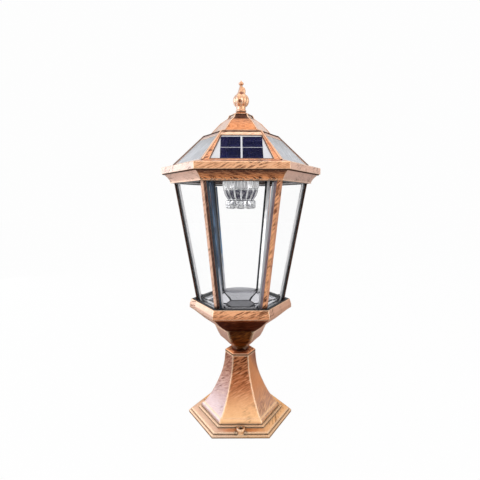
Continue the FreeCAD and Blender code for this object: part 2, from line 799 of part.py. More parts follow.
def leaning(body, section, low, high):
    """Lofts a section, measured from the cage's ridge, between two heights above the sill."""
    sketches = []
    for level, radius in ((low, mm.ridge_low_radius), (high, ridge(high))):
        points = [(radius + depth, side) for depth, side in section]
        sketches.append(outline(body, "XY_Plane", level, points))
    return loft(body, sketches)


def make_bar_seal(name, turn):
    """A black strip with a web between two panes and a head that holds their inner edges."""
    body = new_body(name)
    web = mm.seal_web_half_width
    head = mm.seal_head_half_width
    pane_back = (mm.pane_setback + mm.pane_thickness + mm.fit_gap) / APOTHEM_SHARE
    shoulder = -(pane_back + web * HALF_SIDE_SHARE)
    edge = -(pane_back + head * HALF_SIDE_SHARE)
    front = -(mm.bar_depth + mm.fit_gap)
    section = [(front, web), (shoulder, web), (edge, head), (-mm.seal_back_depth, head),
               (-mm.seal_back_depth, -head), (edge, -head), (shoulder, -web), (front, -web)]
    leaning(body, section, 0, mm.bar_height - mm.seat_gap)
    place(body, sill_top, turn)


def face_plate(body, low, high, low_face, high_face, low_depth, high_depth, half_widths):
    """A plate behind a face of the cage: level rectangles at two heights, joined."""
    sketches = []
    for level, face, depth, half in ((low, low_face, low_depth, half_widths[0]),
                                     (high, high_face, high_depth, half_widths[1])):
        sketches.append(rectangle(body, level, (face - depth, -half), (face, half)))
    return loft(body, sketches)


def pane_face(level):
    """Distance of the panes' outer side from the axis at a height above the sill."""
    return ridge(level) * APOTHEM_SHARE - mm.pane_setback


def pane_half(level):
    return ridge(level) / 2 - mm.pane_side_gap


def make_pane(name, turn):
    """A clear pane, narrower at the sill than at the head."""
    body = new_body(name)
    head = mm.bar_height - mm.seat_gap
    face_plate(body, ground, head, pane_face(ground), pane_face(head), mm.pane_thickness, mm.pane_thickness,
               (pane_half(ground), pane_half(head)))
    place(body, sill_top, turn)


def make_head_seal():
    """Six strips that close the gap between the head of each pane and the fascia's lip."""
    body = new_body("head_seal")
    low = mm.bar_height - mm.head_seal_drop
    high = low + mm.head_seal_height
    wall = fascia_inner * APOTHEM_SHARE - mm.fit_gap
    low_inner = pane_face(low) + mm.fit_gap
    high_inner = pane_face(high) + mm.fit_gap
    strip = face_plate(body, low, high, wall, wall, wall - low_inner, wall - high_inner,
                       (pane_half(low), pane_half(high)))
    pattern(body, [strip], 6)
    place(body, sill_top, FACES["rear_right"])


def make_fascia():
    """The ring between cage and roof: a lip, a cove and an inner flange recessed for the ceiling plate."""
    body = new_body("fascia_ring")
    pad(body, hexagon(body, fascia_lip, 0), mm.fascia_lip_height)
    hexagon_loft(body, [
        (fascia_lip - mm.fascia_lip_step, mm.fascia_lip_height),
        (fascia_lip + mm.fascia_cove_low_out, mm.fascia_cove_low_height),
        (fascia_lip + mm.fascia_cove_mid_out, mm.fascia_cove_mid_height),
        (fascia_lip + mm.fascia_top_out, mm.fascia_height),
    ], ruled=False)
    flange_low = mm.fascia_height - mm.ceiling_thickness - mm.fascia_flange_thickness
    pocket(body, hexagon(body, fascia_inner, -mm.overrun), flange_low + mm.overrun)
    pocket(body, hexagon(body, fascia_hole, -mm.overrun), mm.fascia_height + mm.overrun * 2)
    recess_low = mm.fascia_height - mm.ceiling_thickness
    pocket(body, hexagon(body, fascia_recess, recess_low), mm.ceiling_thickness + mm.overrun)
    hole_radius = mm.screw_radius + mm.fit_gap
    hole = pocket(body, circle(body, hole_radius, flange_low - mm.overrun, roof_screw_centre()),
                  mm.fascia_flange_thickness + mm.overrun * 2)
    pattern(body, [hole], 6)
    place(body, fascia_level)


def roof_screw_centre():
    """The screw that stands at the middle of the face 30 degrees round from +X."""
    return (roof_screw_circle * APOTHEM_SHARE, roof_screw_circle / 2)


def make_roof_screws():
    """Six screws that come up through the fascia's flange into the ceiling plate."""
    body = new_body("roof_screws")
    centre = roof_screw_centre()
    head = pad(body, circle(body, mm.screw_head_radius, 0, centre), mm.screw_head_height)
    shank = pad(body, circle(body, mm.screw_radius, mm.screw_head_height, centre), mm.roof_screw_length)
    pattern(body, [head, shank], 6)
    place(body, flange_level - mm.screw_head_height)


def slope_radius(level):
    """Corner radius of the roof's slope at a height above the eave's bottom."""
    return between(mm.slope_foot_height, mm.slope_head_height, slope_foot, slope_head, level)


window_foot = mm.slope_foot_height + mm.window_foot_rise
window_head = mm.slope_head_height - mm.window_head_drop


def window_half(level):
    """Half the width of a roof opening at a height above the eave's bottom."""
    foot_half = slope_radius(window_foot) / 2 - mm.window_foot_margin
    head_half = slope_radius(window_head) / 2 - mm.window_head_margin
    return between(window_foot, window_head, foot_half, head_half, level)


def slope_slab(body, levels, depths, sides, cut=False):
    """A slab parallel to the roof's face on +X, between two levels, two depths and two sides a level."""
    sketches = []
    for level, (left, right) in zip(levels, sides):
        face = slope_radius(level) * APOTHEM_SHARE
        sketches.append(rectangle(body, level, (face - depths[1], left), (face - depths[0], right)))
    return loft(body, sketches, cut=cut)


def window_slab(body, margin, depths, cut=False):
    """A slab that fills a roof opening but for a margin all round."""
    levels = (window_foot + margin, window_head - margin)
    sides = [(-(window_half(level) - margin), window_half(level) - margin) for level in levels]
    return slope_slab(body, levels, depths, sides, cut)


def post_centre():
    """The screw post inside the corner 30 degrees round from +X."""
    return (post_circle * APOTHEM_SHARE, post_circle / 2)


def make_roof_cavity():
    """The space under the roof, with a post left standing inside each corner."""
    tool = document.addObject("PartDesign::Body", "roof_cavity")
    hexagon_loft(tool, [
        (eave_radius - mm.eave_inset, -mm.overrun),
        (eave_radius - mm.eave_inset, mm.eave_inner_height),
        (slope_foot - mm.roof_skin, mm.slope_foot_height),
        (slope_head - mm.roof_skin + mm.roof_ceiling, mm.slope_head_height - mm.roof_ceiling),
    ], flat=True)
    post = pocket(tool, circle(tool, mm.post_radius, 0, post_centre()), roof_height)
    pattern(tool, [post], 6)
    return tool


def make_roof():
    """The cast roof: upright eave, six sloping faces with a stepped opening each, and screw posts inside."""
    body = new_body("roof_frame")
    hexagon_loft(body, [
        (eave_radius, 0),
        (eave_radius, mm.eave_edge),
        (eave_radius - mm.eave_chamfer, mm.eave_edge + mm.eave_chamfer),
        (slope_foot, mm.slope_foot_height),
        (slope_head, mm.slope_head_height),
        (mm.roof_top_radius, roof_height),
    ], flat=True)
    place(body, roof_level, FACES["rear_right"])
    hollow = body.newObject("PartDesign::Boolean", "Hollow")
    hollow.Type = "Cut"
    hollow.setObjects([make_roof_cavity()])
    opening_low = mm.slope_head_height - mm.roof_ceiling - mm.overrun
    pocket(body, hexagon(body, roof_opening, opening_low, flat=True), roof_height - opening_low)
    recess = window_slab(body, ground, (-mm.overrun, mm.window_recess), cut=True)
    through = window_slab(body, mm.window_ledge, (ground, mm.roof_skin * 2), cut=True)
    pattern(body, [recess, through], 6)
    hole = pocket(body, circle(body, mm.screw_radius + mm.fit_gap, -mm.overrun, post_centre()),
                  mm.screw_length + mm.overrun)
    pattern(body, [hole], 6)


def make_solar_panel(name, turn):
    """One solar face: the board on the opening's ledge, four cells on it and the clear cover over them."""
    cells_depth = mm.window_recess - mm.board_thickness
    cover_depth = cells_depth - mm.cell_thickness
    board = new_body("solar_board_" + name)
    window_slab(board, mm.fit_gap, (cells_depth, mm.window_recess))
    cells = new_body("solar_cells_" + name)
    inner = mm.cell_gap / 2
    foot = window_foot + mm.cell_foot_margin
    head = window_head - mm.cell_head_margin
    outer = window_half(head) - mm.cell_side_margin
    rise = (head - foot - mm.cell_row_gap) / 2
    for low in (foot, foot + rise + mm.cell_row_gap):
        for sides in ((inner, outer), (-outer, -inner)):
            slope_slab(cells, (low, low + rise), (cover_depth, cells_depth), (sides, sides))
    cover = new_body("panel_cover_" + name)
    window_slab(cover, mm.seat_gap, (ground, cover_depth))
    for body in (board, cells, cover):
        place(body, roof_level, turn)


def make_infill(name, turn):
    """A plain glossy panel on the ledge of an opening that has no cells."""
    body = new_body("infill_panel_" + name)
    window_slab(body, mm.fit_gap, (mm.window_recess - mm.infill_thickness, mm.window_recess))
    place(body, roof_level, turn)


def make_crown():
    """The hexagonal cap: a spigot in the roof's opening, a curved hood, a riser with six sunk panels."""
    body = new_body("crown")
    spigot = roof_opening - mm.seat_gap
    inner = spigot - mm.crown_wall
    pad(body, hexagon(body, spigot, -mm.crown_spigot_depth, flat=True), mm.crown_spigot_depth)
    hexagon_loft(body, [
        (mm.roof_top_radius, 0),
        (mm.crown_low_radius, mm.crown_low_height),
        (mm.crown_mid_radius, crown_mid_height),
        (mm.crown_lip_radius, crown_lip_height),
    ], ruled=False, flat=True)
    hexagon_loft(body, [
        (mm.crown_lip_radius, crown_lip_height),
        (mm.crown_riser_radius, crown_riser_height),
        (mm.crown_top_radius, crown_riser_height + mm.crown_top_rise),
    ], flat=True)
    hexagon_loft(body, [
        (inner, -mm.crown_spigot_depth - mm.overrun),
        (inner, mm.crown_low_height + mm.crown_cavity_step),
        (mm.crown_mid_radius - mm.crown_wall, crown_mid_height),
        (mm.crown_cavity_top_radius, crown_cavity_height),
    ], cut=True, flat=True)
    pattern(body, [crown_panel(body)], 6)
    pocket(body, circle(body, mm.stud_radius + mm.fit_gap, crown_cavity_height - mm.overrun),
           finial_level - crown_level - crown_cavity_height + mm.overrun * 2)
    place(body, crown_level, FACES["rear_right"])


def crown_panel(body):
    """Cuts the sunk panel of the riser's face on +X, with a rib left at each hip."""
    sketches = []
    foot = crown_lip_height + mm.crown_panel_foot_margin
    head = crown_riser_height - mm.crown_panel_head_margin
    for level in (foot, head):
        radius = between(crown_lip_height, crown_riser_height,
                         mm.crown_lip_radius, mm.crown_riser_radius, level)
        face = radius * APOTHEM_SHARE
        half = radius / 2 - mm.crown_rib_width
        low = (face - mm.crown_panel_depth, -half)
        sketches.append(rectangle(body, level, low, (face + mm.overrun * 2, half)))
    return loft(body, sketches, cut=True)


def bend(sagitta, run, rise):
    """Radius of the arc that bows by a sagitta between two points a run and a rise apart."""
    return (sagitta * sagitta + (run * run + rise * rise) / 4) / (sagitta * 2)


def make_finial():
    """The finial: flare, ring, neck, a bulb of six petals, a cone of six leaves, a knob and a point."""
    body = new_body("finial")
    throat = mm.finial_throat_radius
    ring_top = mm.finial_flare_height + mm.finial_ring_height
    bulb_low = ring_top + mm.finial_neck_height
    bulb_top = bulb_low + mm.finial_bulb_height
    cone_low = bulb_top + mm.finial_notch_height
    cone_top = cone_low + mm.finial_cone_height
    knob_top = cone_top + mm.finial_knob_height
    tip_neck = mm.finial_tip_neck_radius
    flare_bend = bend(mm.finial_flare_sag, mm.finial_flare_radius - throat, mm.finial_flare_height)
    ring_bend = bend(mm.finial_ring_bulge, ground, mm.finial_ring_height)
    knob_bend = bend(mm.finial_knob_bulge, ground, mm.finial_knob_height)
    turned(body, [
        (0, 0),
        (mm.finial_flare_radius, 0, flare_bend, 1),
        (throat, mm.finial_flare_height, ring_bend, -1),
        (throat, ring_top, mm.finial_neck_bend, 1),
        (mm.finial_neck_radius, bulb_low, mm.finial_bulb_bend, -1),
        (mm.finial_notch_radius, bulb_top),
        (mm.finial_cone_radius, cone_low),
        (tip_neck, cone_top, knob_bend, -1),
        (tip_neck, knob_top),
        (0, knob_top + mm.finial_point_height),
    ])
    petal = ellipsoid(body, mm.petal_centre_radius, bulb_low + mm.petal_rise, mm.petal_half_height,
                      mm.petal_reach, mm.petal_half_width)
    leaf = ellipsoid(body, mm.leaf_centre_radius, cone_low + mm.leaf_rise, mm.leaf_half_height,
                     mm.leaf_reach, mm.leaf_half_width)
    pattern(body, [petal, leaf], 6)
    pad(body, circle(body, mm.stud_radius, -mm.stud_length), mm.stud_length)
    place(body, finial_level)
    nut = new_body("finial_nut")
    pad(nut, hexagon(nut, mm.stud_nut_radius, 0), mm.stud_nut_height)
    pocket(nut, circle(nut, mm.stud_radius + mm.fit_gap, -mm.overrun), mm.stud_nut_height + mm.overrun * 2)
    place(nut, crown_level + crown_cavity_height - mm.stud_nut_height)


def make_ceiling():
    """The plate that closes the head, with holes for its screws, the lamp's leads and the switch."""
    body = new_body("ceiling_plate")
    depth = mm.ceiling_thickness + mm.overrun * 2
    pad(body, hexagon(body, fascia_recess - mm.ceiling_edge_gap, 0), mm.ceiling_thickness)
    post = pocket(body, circle(body, mm.screw_radius + mm.fit_gap, -mm.overrun, (post_circle, 0)), depth)
    snug_radius = mm.screw_radius + mm.seat_gap
    screw = pocket(body, circle(body, snug_radius, -mm.overrun, roof_screw_centre()), depth)
    pattern(body, [post, screw], 6)
    pocket(body, circle(body, mm.lead_hole_radius, -mm.overrun), depth)
    pocket(body, circle(body, switch_barrel + mm.fit_gap, -mm.overrun, (0, switch_centre)), depth)
    place(body, ceiling_level)
    screws = new_body("ceiling_screws")
    centre = (post_circle, 0)
    head = pad(screws, circle(screws, mm.screw_head_radius, -mm.screw_head_height, centre),
               mm.screw_head_height)
    shank = pad(screws, circle(screws, mm.screw_radius, 0, centre), mm.screw_length)
    pattern(screws, [head, shank], 6)
    place(screws, ceiling_level)


def make_lamp():
    """The bright collar under the ceiling plate and the light source inside it."""
    collar = new_body("lens_collar")
    inner = mm.lens_collar_radius - mm.lens_collar_wall
    pad(collar, circle(collar, mm.lens_collar_radius, 0), mm.lens_collar_height)
    pocket(collar, circle(collar, inner, -mm.overrun), mm.lens_collar_height + mm.overrun * 2)
    place(collar, ceiling_level - mm.lens_collar_height)
    board = new_body("led_board")
    pad(board, circle(board, inner - mm.led_board_gap, 0), mm.led_board_thickness)
    place(board, ceiling_level - mm.led_board_thickness)
    chips = new_body("led_chips")
    half = mm.led_chip_size / 2
    low = (mm.led_circle_radius - half, -half)
    high = (mm.led_circle_radius + half, half)
    chip = pad(chips, rectangle(chips, 0, low, high), mm.led_chip_thickness)
    pattern(chips, [chip], 6)
    place(chips, ceiling_level - mm.led_board_thickness - mm.led_chip_thickness)


def make_lens():
    """The pressed crystal, bored from above: a fluted bell, narrowed to a waist, and a scalloped skirt."""
    body = new_body("crystal_lens")
    spigot = mm.lens_collar_radius - mm.lens_collar_wall - mm.lens_spigot_gap
    shoulder = -mm.seat_gap
    bell_low = -mm.lens_body_height
    skirt_top = bell_low - mm.lens_skirt_step
    skirt_low = skirt_top - mm.lens_skirt_height
    turned(body, [
        (0, skirt_low + mm.lens_dimple_height, mm.lens_dimple_bend, 1),
        (mm.lens_dimple_radius, skirt_low),
        (mm.lens_skirt_radius - mm.lens_foot_round, skirt_low, mm.lens_foot_round, -1),
        (mm.lens_skirt_radius, skirt_low + mm.lens_foot_round),
        (mm.lens_skirt_radius, skirt_top),
        (mm.lens_waist_radius, bell_low),
        (mm.lens_shoulder_radius, shoulder - mm.lens_shoulder_edge),
        (mm.lens_shoulder_radius, shoulder),
        (spigot, shoulder),
        (spigot, mm.lens_spigot_height),
        (mm.lens_bore_radius, mm.lens_spigot_height),
        (mm.lens_bore_radius, -mm.lens_floor),
        (0, -mm.lens_floor),
    ])
    high = (mm.lens_shoulder_radius + mm.flute_radius - mm.flute_depth, 0)
    low = (mm.lens_waist_radius + mm.flute_low_radius - mm.flute_depth, 0)
    flute = loft(body, [circle(body, mm.flute_low_radius, bell_low, low),
                        circle(body, mm.flute_radius, shoulder, high)], cut=True)
    edge = (mm.lens_skirt_radius + mm.scallop_radius - mm.scallop_depth, 0)
    scallop = pocket(body, circle(body, mm.scallop_radius, skirt_low - mm.overrun, edge),
                     mm.lens_skirt_height + mm.overrun)
    pattern(body, [flute, scallop], FLUTES)
    place(body, ceiling_level - mm.lens_collar_height)


def make_battery():
    """An open box with two bays on the ceiling plate, and the two cells that lie in it."""
    box = new_body("battery_box")
    wall = mm.battery_box_wall
    bay = mm.cell_radius * 2 + mm.battery_bay_gap
    half_length = (mm.cell_length + mm.cell_cap_length + mm.battery_spring_room) / 2 + wall
    height = mm.battery_box_height
    half_width = wall / 2 + bay + wall
    centre = -(mm.battery_box_setback + half_width)
    pad(box, rectangle(box, 0, (-half_length, -half_width), (half_length, half_width)), height)
    for low, high in ((wall / 2, half_width - wall), (wall - half_width, -wall / 2)):
        pocket(box, rectangle(box, wall, (wall - half_length, low), (half_length - wall, high)), height)
    place(box, roof_level, back=centre)
    cells = new_body("battery_cells")
    axis_height = wall + mm.fit_gap + mm.cell_radius
    for side in (-1, 1):
        axis = ((bay + wall) / 2 * side, axis_height)
        pad(cells, circle(cells, mm.cell_radius, -mm.cell_length / 2, axis, "YZ_Plane"), mm.cell_length)
        pad(cells, circle(cells, mm.cell_cap_radius, mm.cell_length / 2, axis, "YZ_Plane"),
            mm.cell_cap_length)
    place(cells, roof_level, back=centre)


def make_control():
    """The charge board on four standoffs, with its coil, chip and plug."""
    board = new_body("control_board")
    half_length = mm.control_length / 2
    half_width = mm.control_width / 2
    top = mm.control_standoff + mm.control_thickness
    pad(board, rectangle(board, mm.control_standoff, (-half_length, -half_width), (half_length, half_width)),
        mm.control_thickness)
    for x in (-half_length + mm.standoff_inset, half_length - mm.standoff_inset):
        for y in (-half_width + mm.standoff_inset, half_width - mm.standoff_inset):
            pad(board, circle(board, mm.standoff_radius, 0, (x, y)), mm.control_standoff)
    place(board, roof_level, back=control_centre)
    items = new_body("control_parts")
    pad(items, circle(items, mm.coil_radius, top, (-half_length / 2, 0)), mm.coil_height)
    chip = (mm.chip_length / 2, mm.chip_width / 2)
    pad(items, rectangle(items, top, (-chip[0], -chip[1]), chip), mm.chip_height)
    pad(items, rectangle(items, top, (half_length / 2 - mm.plug_width / 2, -mm.plug_length / 2),
                         (half_length / 2 + mm.plug_width / 2, mm.plug_length / 2)), mm.plug_height)
    place(items, roof_level, back=control_centre)


def make_switch():
    """The push switch: a flanged barrel through the ceiling plate and the button in its bore."""
    barrel = new_body("switch_body")
    flange_low = -mm.switch_flange_thickness
    bore_top = mm.switch_bore_depth - mm.switch_flange_thickness
    turned(barrel, [
        (switch_bore, flange_low),
        (switch_barrel + mm.switch_flange_width, flange_low),
        (switch_barrel + mm.switch_flange_width, 0),
        (switch_barrel, 0),
        (switch_barrel, mm.switch_barrel_height),
        (0, mm.switch_barrel_height),
        (0, bore_top),
        (switch_bore, bore_top),
    ])
    place(barrel, ceiling_level, back=switch_centre)
    button = new_body("switch_button")
    low = flange_low - mm.button_reach
    turned(button, [
        (0, low),
        (mm.button_radius - mm.button_round, low, mm.button_round, -1),
        (mm.button_radius, low + mm.button_round),
        (mm.button_radius, bore_top - mm.button_travel - mm.seat_gap),
        (0, bore_top - mm.button_travel - mm.seat_gap),
    ])
    place(button, ceiling_level, back=switch_centre)


def build_all():
    make_pedestal()
    make_collar()
    make_neck()
    make_bowl()
    make_clamp()
    make_sill()
    make_tray()
    for name, turn in CORNERS.items():
        make_bar("corner_bar_" + name, turn)
        make_bar_seal("bar_seal_" + name, turn)
    for name, turn in FACES.items():
        make_pane("glass_pane_" + name, turn)
    make_head_seal()
    make_fascia()
    make_roof_screws()
    make_roof()
    for name, turn in FACES.items():
        if name in SOLAR_FACES:
            make_solar_panel(name, turn)
        else:
            make_infill(name, turn)
    make_crown()
    make_finial()
    make_ceiling()
    make_lamp()
    make_lens()
    make_battery()
    make_control()
    make_switch()


def check_all():
    """Stops when a feature failed, a cut removed nothing or a piece has no valid solid."""
    document.recompute()
    for item in document.Objects:
        if "Invalid" in item.State or "Error" in item.State:
            raise RuntimeError("%s failed: %s" % (item.Name, item.State))
        if item.TypeId in CUTS and item.Shape.Volume >= item.BaseFeature.Shape.Volume:
            raise RuntimeError("%s in %s cuts nothing" % (item.Name, item.getParentGeoFeatureGroup().Label))
    for body in bodies:
        if body.Shape.isNull() or not body.Shape.isValid() or not body.Shape.Solids:
            raise RuntimeError("%s has no valid solid" % body.Label)


def export_all():
    os.makedirs("parts", exist_ok=True)
    for body in bodies:
        body.Shape.exportStep("parts/%s.step" % body.Label)
        print(body.Label, len(body.Shape.Solids), round(body.Shape.Volume))


build_all()
check_all()
export_all()
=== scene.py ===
import json
import math

import bmesh
import bpy
from mathutils import Matrix, Vector


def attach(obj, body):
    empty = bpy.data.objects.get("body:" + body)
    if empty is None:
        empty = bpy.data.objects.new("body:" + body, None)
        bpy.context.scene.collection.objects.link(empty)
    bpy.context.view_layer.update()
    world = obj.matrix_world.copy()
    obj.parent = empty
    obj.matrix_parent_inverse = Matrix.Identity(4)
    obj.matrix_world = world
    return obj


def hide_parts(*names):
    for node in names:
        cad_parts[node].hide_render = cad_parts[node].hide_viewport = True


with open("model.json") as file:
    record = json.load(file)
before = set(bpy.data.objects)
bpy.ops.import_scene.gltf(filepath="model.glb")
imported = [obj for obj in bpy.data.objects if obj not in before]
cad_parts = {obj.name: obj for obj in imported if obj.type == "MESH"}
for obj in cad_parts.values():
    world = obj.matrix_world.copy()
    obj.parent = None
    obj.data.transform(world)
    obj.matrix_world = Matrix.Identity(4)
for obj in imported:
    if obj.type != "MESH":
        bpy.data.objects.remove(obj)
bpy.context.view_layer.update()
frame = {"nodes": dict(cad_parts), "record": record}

# Corners and faces by their turn round the axis in degrees, and a hexagon's inner radius over its outer
CORNERS = {"right": 0, "rear_right": 60, "rear_left": 120, "left": 180, "front_left": 240, "front_right": 300}
FACES = {"front": 270, "front_right": 330, "rear_right": 30, "rear": 90, "rear_left": 150, "front_left": 210}
SOLAR_FACES = ("front", "rear_left", "rear_right")
FACE_SHARE = math.cos(math.radians(30))

# Camera: its tilt and roll, its turn round the lamp's axis and its place before that turn
TILT = math.radians(-5.84)
ROLL = math.radians(0.14)
TURN = math.radians(-0.56)
EYE = (-0.001135, -0.6465, 0.3703)
FOCAL_MM = 28.93
SENSOR_MM = 36.0

# Lamps: place, size of the lit field and power in watts
LAMP_AIM = (0, 0, 0.3)
LAMPS = {
    "left_back": ((-1.25, 0.75, 0.5), (1.0, 1.3), 5),
    "left_front": ((-1.3, -0.8, 0.8), (0.9, 0.9), 6.5),
    "top": ((0.1, -0.2, 1.7), (1.2, 1.2), 4),
    "right_front": ((1.2, -0.9, 0.6), (0.9, 1.1), 5),
}

# Stage: the floor's radius, level, tone and share of glow, and the world's strength as light and as seen
FLOOR_RADIUS = 6.0
FLOOR_LEVEL = -0.0004
FLOOR_TONE = (0.9, 0.9, 0.9, 1)
FLOOR_GLOW = 0.97
WORLD_LIGHT = 0.55
WORLD_SEEN = 0.985

# Ridge of the cage: radius and level at its foot and head
CAGE_LOW = (0.0748, 0.2000)
CAGE_HIGH = (0.1122, 0.4085)
# Glazing beads: section as (along the face, inwards), levels, and the sides of the bars that carry none
BEAD_SECTION = ((0.0085, 0.00455), (0.0112, 0.00455), (0.0112, 0.0056), (0.0104, 0.0063), (0.0085, 0.0063))
BEAD_LEVELS = (0.2037, 0.2600, 0.3300, 0.3965)
BARE_SIDES = (("rear_right", 1),)
# Rubber boots of the seals: outline as (along the face, inwards) by its level
BOOT_RINGS = {
    0.2033: ((0.0084, 0.0048), (0.0150, 0.0048), (0.0135, 0.0085), (0.0084, 0.0098)),
    0.2098: ((0.0084, 0.0048), (0.0112, 0.0048), (0.0105, 0.0070), (0.0084, 0.0078)),
}

# Hips of the roof and of the crown: radius and level, from the eave up
ROOF_HIP = ((0.1120, 0.4275), (0.0615, 0.4740), (0.0500, 0.4772))
CROWN_HIP = ((0.0490, 0.4780), (0.0426, 0.4850), (0.0335, 0.4940), (0.0212, 0.5024), (0.0188, 0.5080))
# Radii of the beads along the hips, and how far the roof's are sunk in; the crown's lie half as deep
ROOF_BEAD = 0.0017
CROWN_BEAD = 0.0010
HIP_SINK = 0.0007
# Openings of the roof: level and half width at the foot and at the head
WINDOW = ((0.4287, 0.04588), (0.4678, 0.03127))

# Dark rods round the lamp, painted shadow lines under the eave and at the collar's foot and a seam at the
# crown's foot: radius, level, radius of the rod and body
DARK_RINGS = {
    "eave_shadow_line": (0.1286, 0.4131, 0.0013, "base"),
    "crown_seam": (0.0616, 0.4740, 0.0010, "head"),
    "collar_shadow_line": (0.0256, 0.1126, 0.0008, "base"),
}

# Plate in the reflector: its six corners, its outer radius, and its rings as (share of its width, level)
PLATE = ((0.0245, 0.0), (0.0160, 0.0215), (-0.0160, 0.0215),
         (-0.0245, 0.0), (-0.0155, -0.0215), (0.0155, -0.0215))
PLATE_RADIUS = 0.0245
PLATE_RINGS = ((1.0, 0.1932), (1.0, 0.1944), (0.94, 0.1949), (0.6, 0.1952), (0.25, 0.1954))
# Seams of the reflector: radii of their rods, level of their feet, then radius and level up to a corner
TRAY_SEAM_RADIUS = 0.0010
PLATE_SEAM_RADIUS = 0.0008
TRAY_SEAM_FOOT = 0.1945
TRAY_SEAM = ((0.0380, 0.1965), (0.0500, 0.1993), (0.0590, 0.2020), (0.0632, 0.2050), (0.0648, 0.2085))
# Weather strip on the bowl's rim: radius and level round its section
SILL_TRIM = ((0.0766, 0.2032), (0.0766, 0.2040), (0.0772, 0.2044), (0.0822, 0.2042), (0.0829, 0.2032))

# Lens: flutes, scallops of the skirt, points round it, how far the scallops hang down below a level, the
# angle that shows as a crease, and the levels where the bell's painted dark refraction starts at its foot and
# ends at its head
FLUTES = 16
SCALLOPS = 8
LENS_POINTS = 128
SCALLOP_DROP = 0.0012
SCALLOP_TOP_MM = 360
LENS_CREASE = math.radians(24)
LENS_PAINTED_DARK_LOW = (0.3712, 0.3735)
LENS_PAINTED_DARK_HIGH = (0.3885, 0.3860)
# Section of the lens: radius, level, depth of the flutes and depth of the scallops
LENS_PROFILE_MM = (
    (0.0, 373.8, 0, 0), (17.0, 373.8, 0, 0), (18.0, 374.8, 0, 0), (18.0, 395.3, 0, 0), (26.2, 395.3, 0, 0),
    (26.2, 390.4, 0, 0), (28.7, 390.4, 0, 0), (28.95, 389.6, 0.2, 0), (28.95, 387.8, 1.0, 0),
    (28.6, 385.0, 1.7, 0), (27.7, 382.0, 2.0, 0), (26.4, 379.0, 2.1, 0), (24.7, 376.0, 2.0, 0),
    (22.9, 373.6, 1.5, 0), (21.7, 371.9, 0.8, 0), (21.4, 371.0, 0, 0), (23.4, 370.4, 0, 0.3),
    (24.9, 369.4, 0, 0.9), (25.3, 366.5, 0, 1.6), (25.1, 362.5, 0, 1.9), (24.4, 359.6, 0, 1.6),
    (22.8, 358.2, 0, 0.9), (20.0, 357.9, 0, 0.2), (15.0, 358.0, 0, 0), (10.0, 359.8, 0, 0),
    (5.0, 361.0, 0, 0), (0.0, 361.5, 0, 0))

# Brushed coating: strokes and hairs to the metre as (along, across), the tone of hairs, and the painted shade
# in grooves
STROKE_SCALE = (72, 560)
HAIR_SCALE = (150, 2000)
HAIR_TINT = (0.66, 0.48, 0.38)
CREVICE_SHADE_TONE = (0.045, 0.014, 0.005)
# Levels of the stroke noise between which a wash lies in narrow or in broad strokes
NARROW_STROKES = (0.49, 0.57)
BROAD_STROKES = (0.38, 0.56)
# Ways that a washed surface looks: to either side, to the front or rear, to the left, to the right
SIDE = ("side", 0.35, 0.7)
FRONT = ("side", 0.6, 0.25)
LEFT = ("x", -0.35, -0.7)
RIGHT = ("x", 0.35, 0.7)


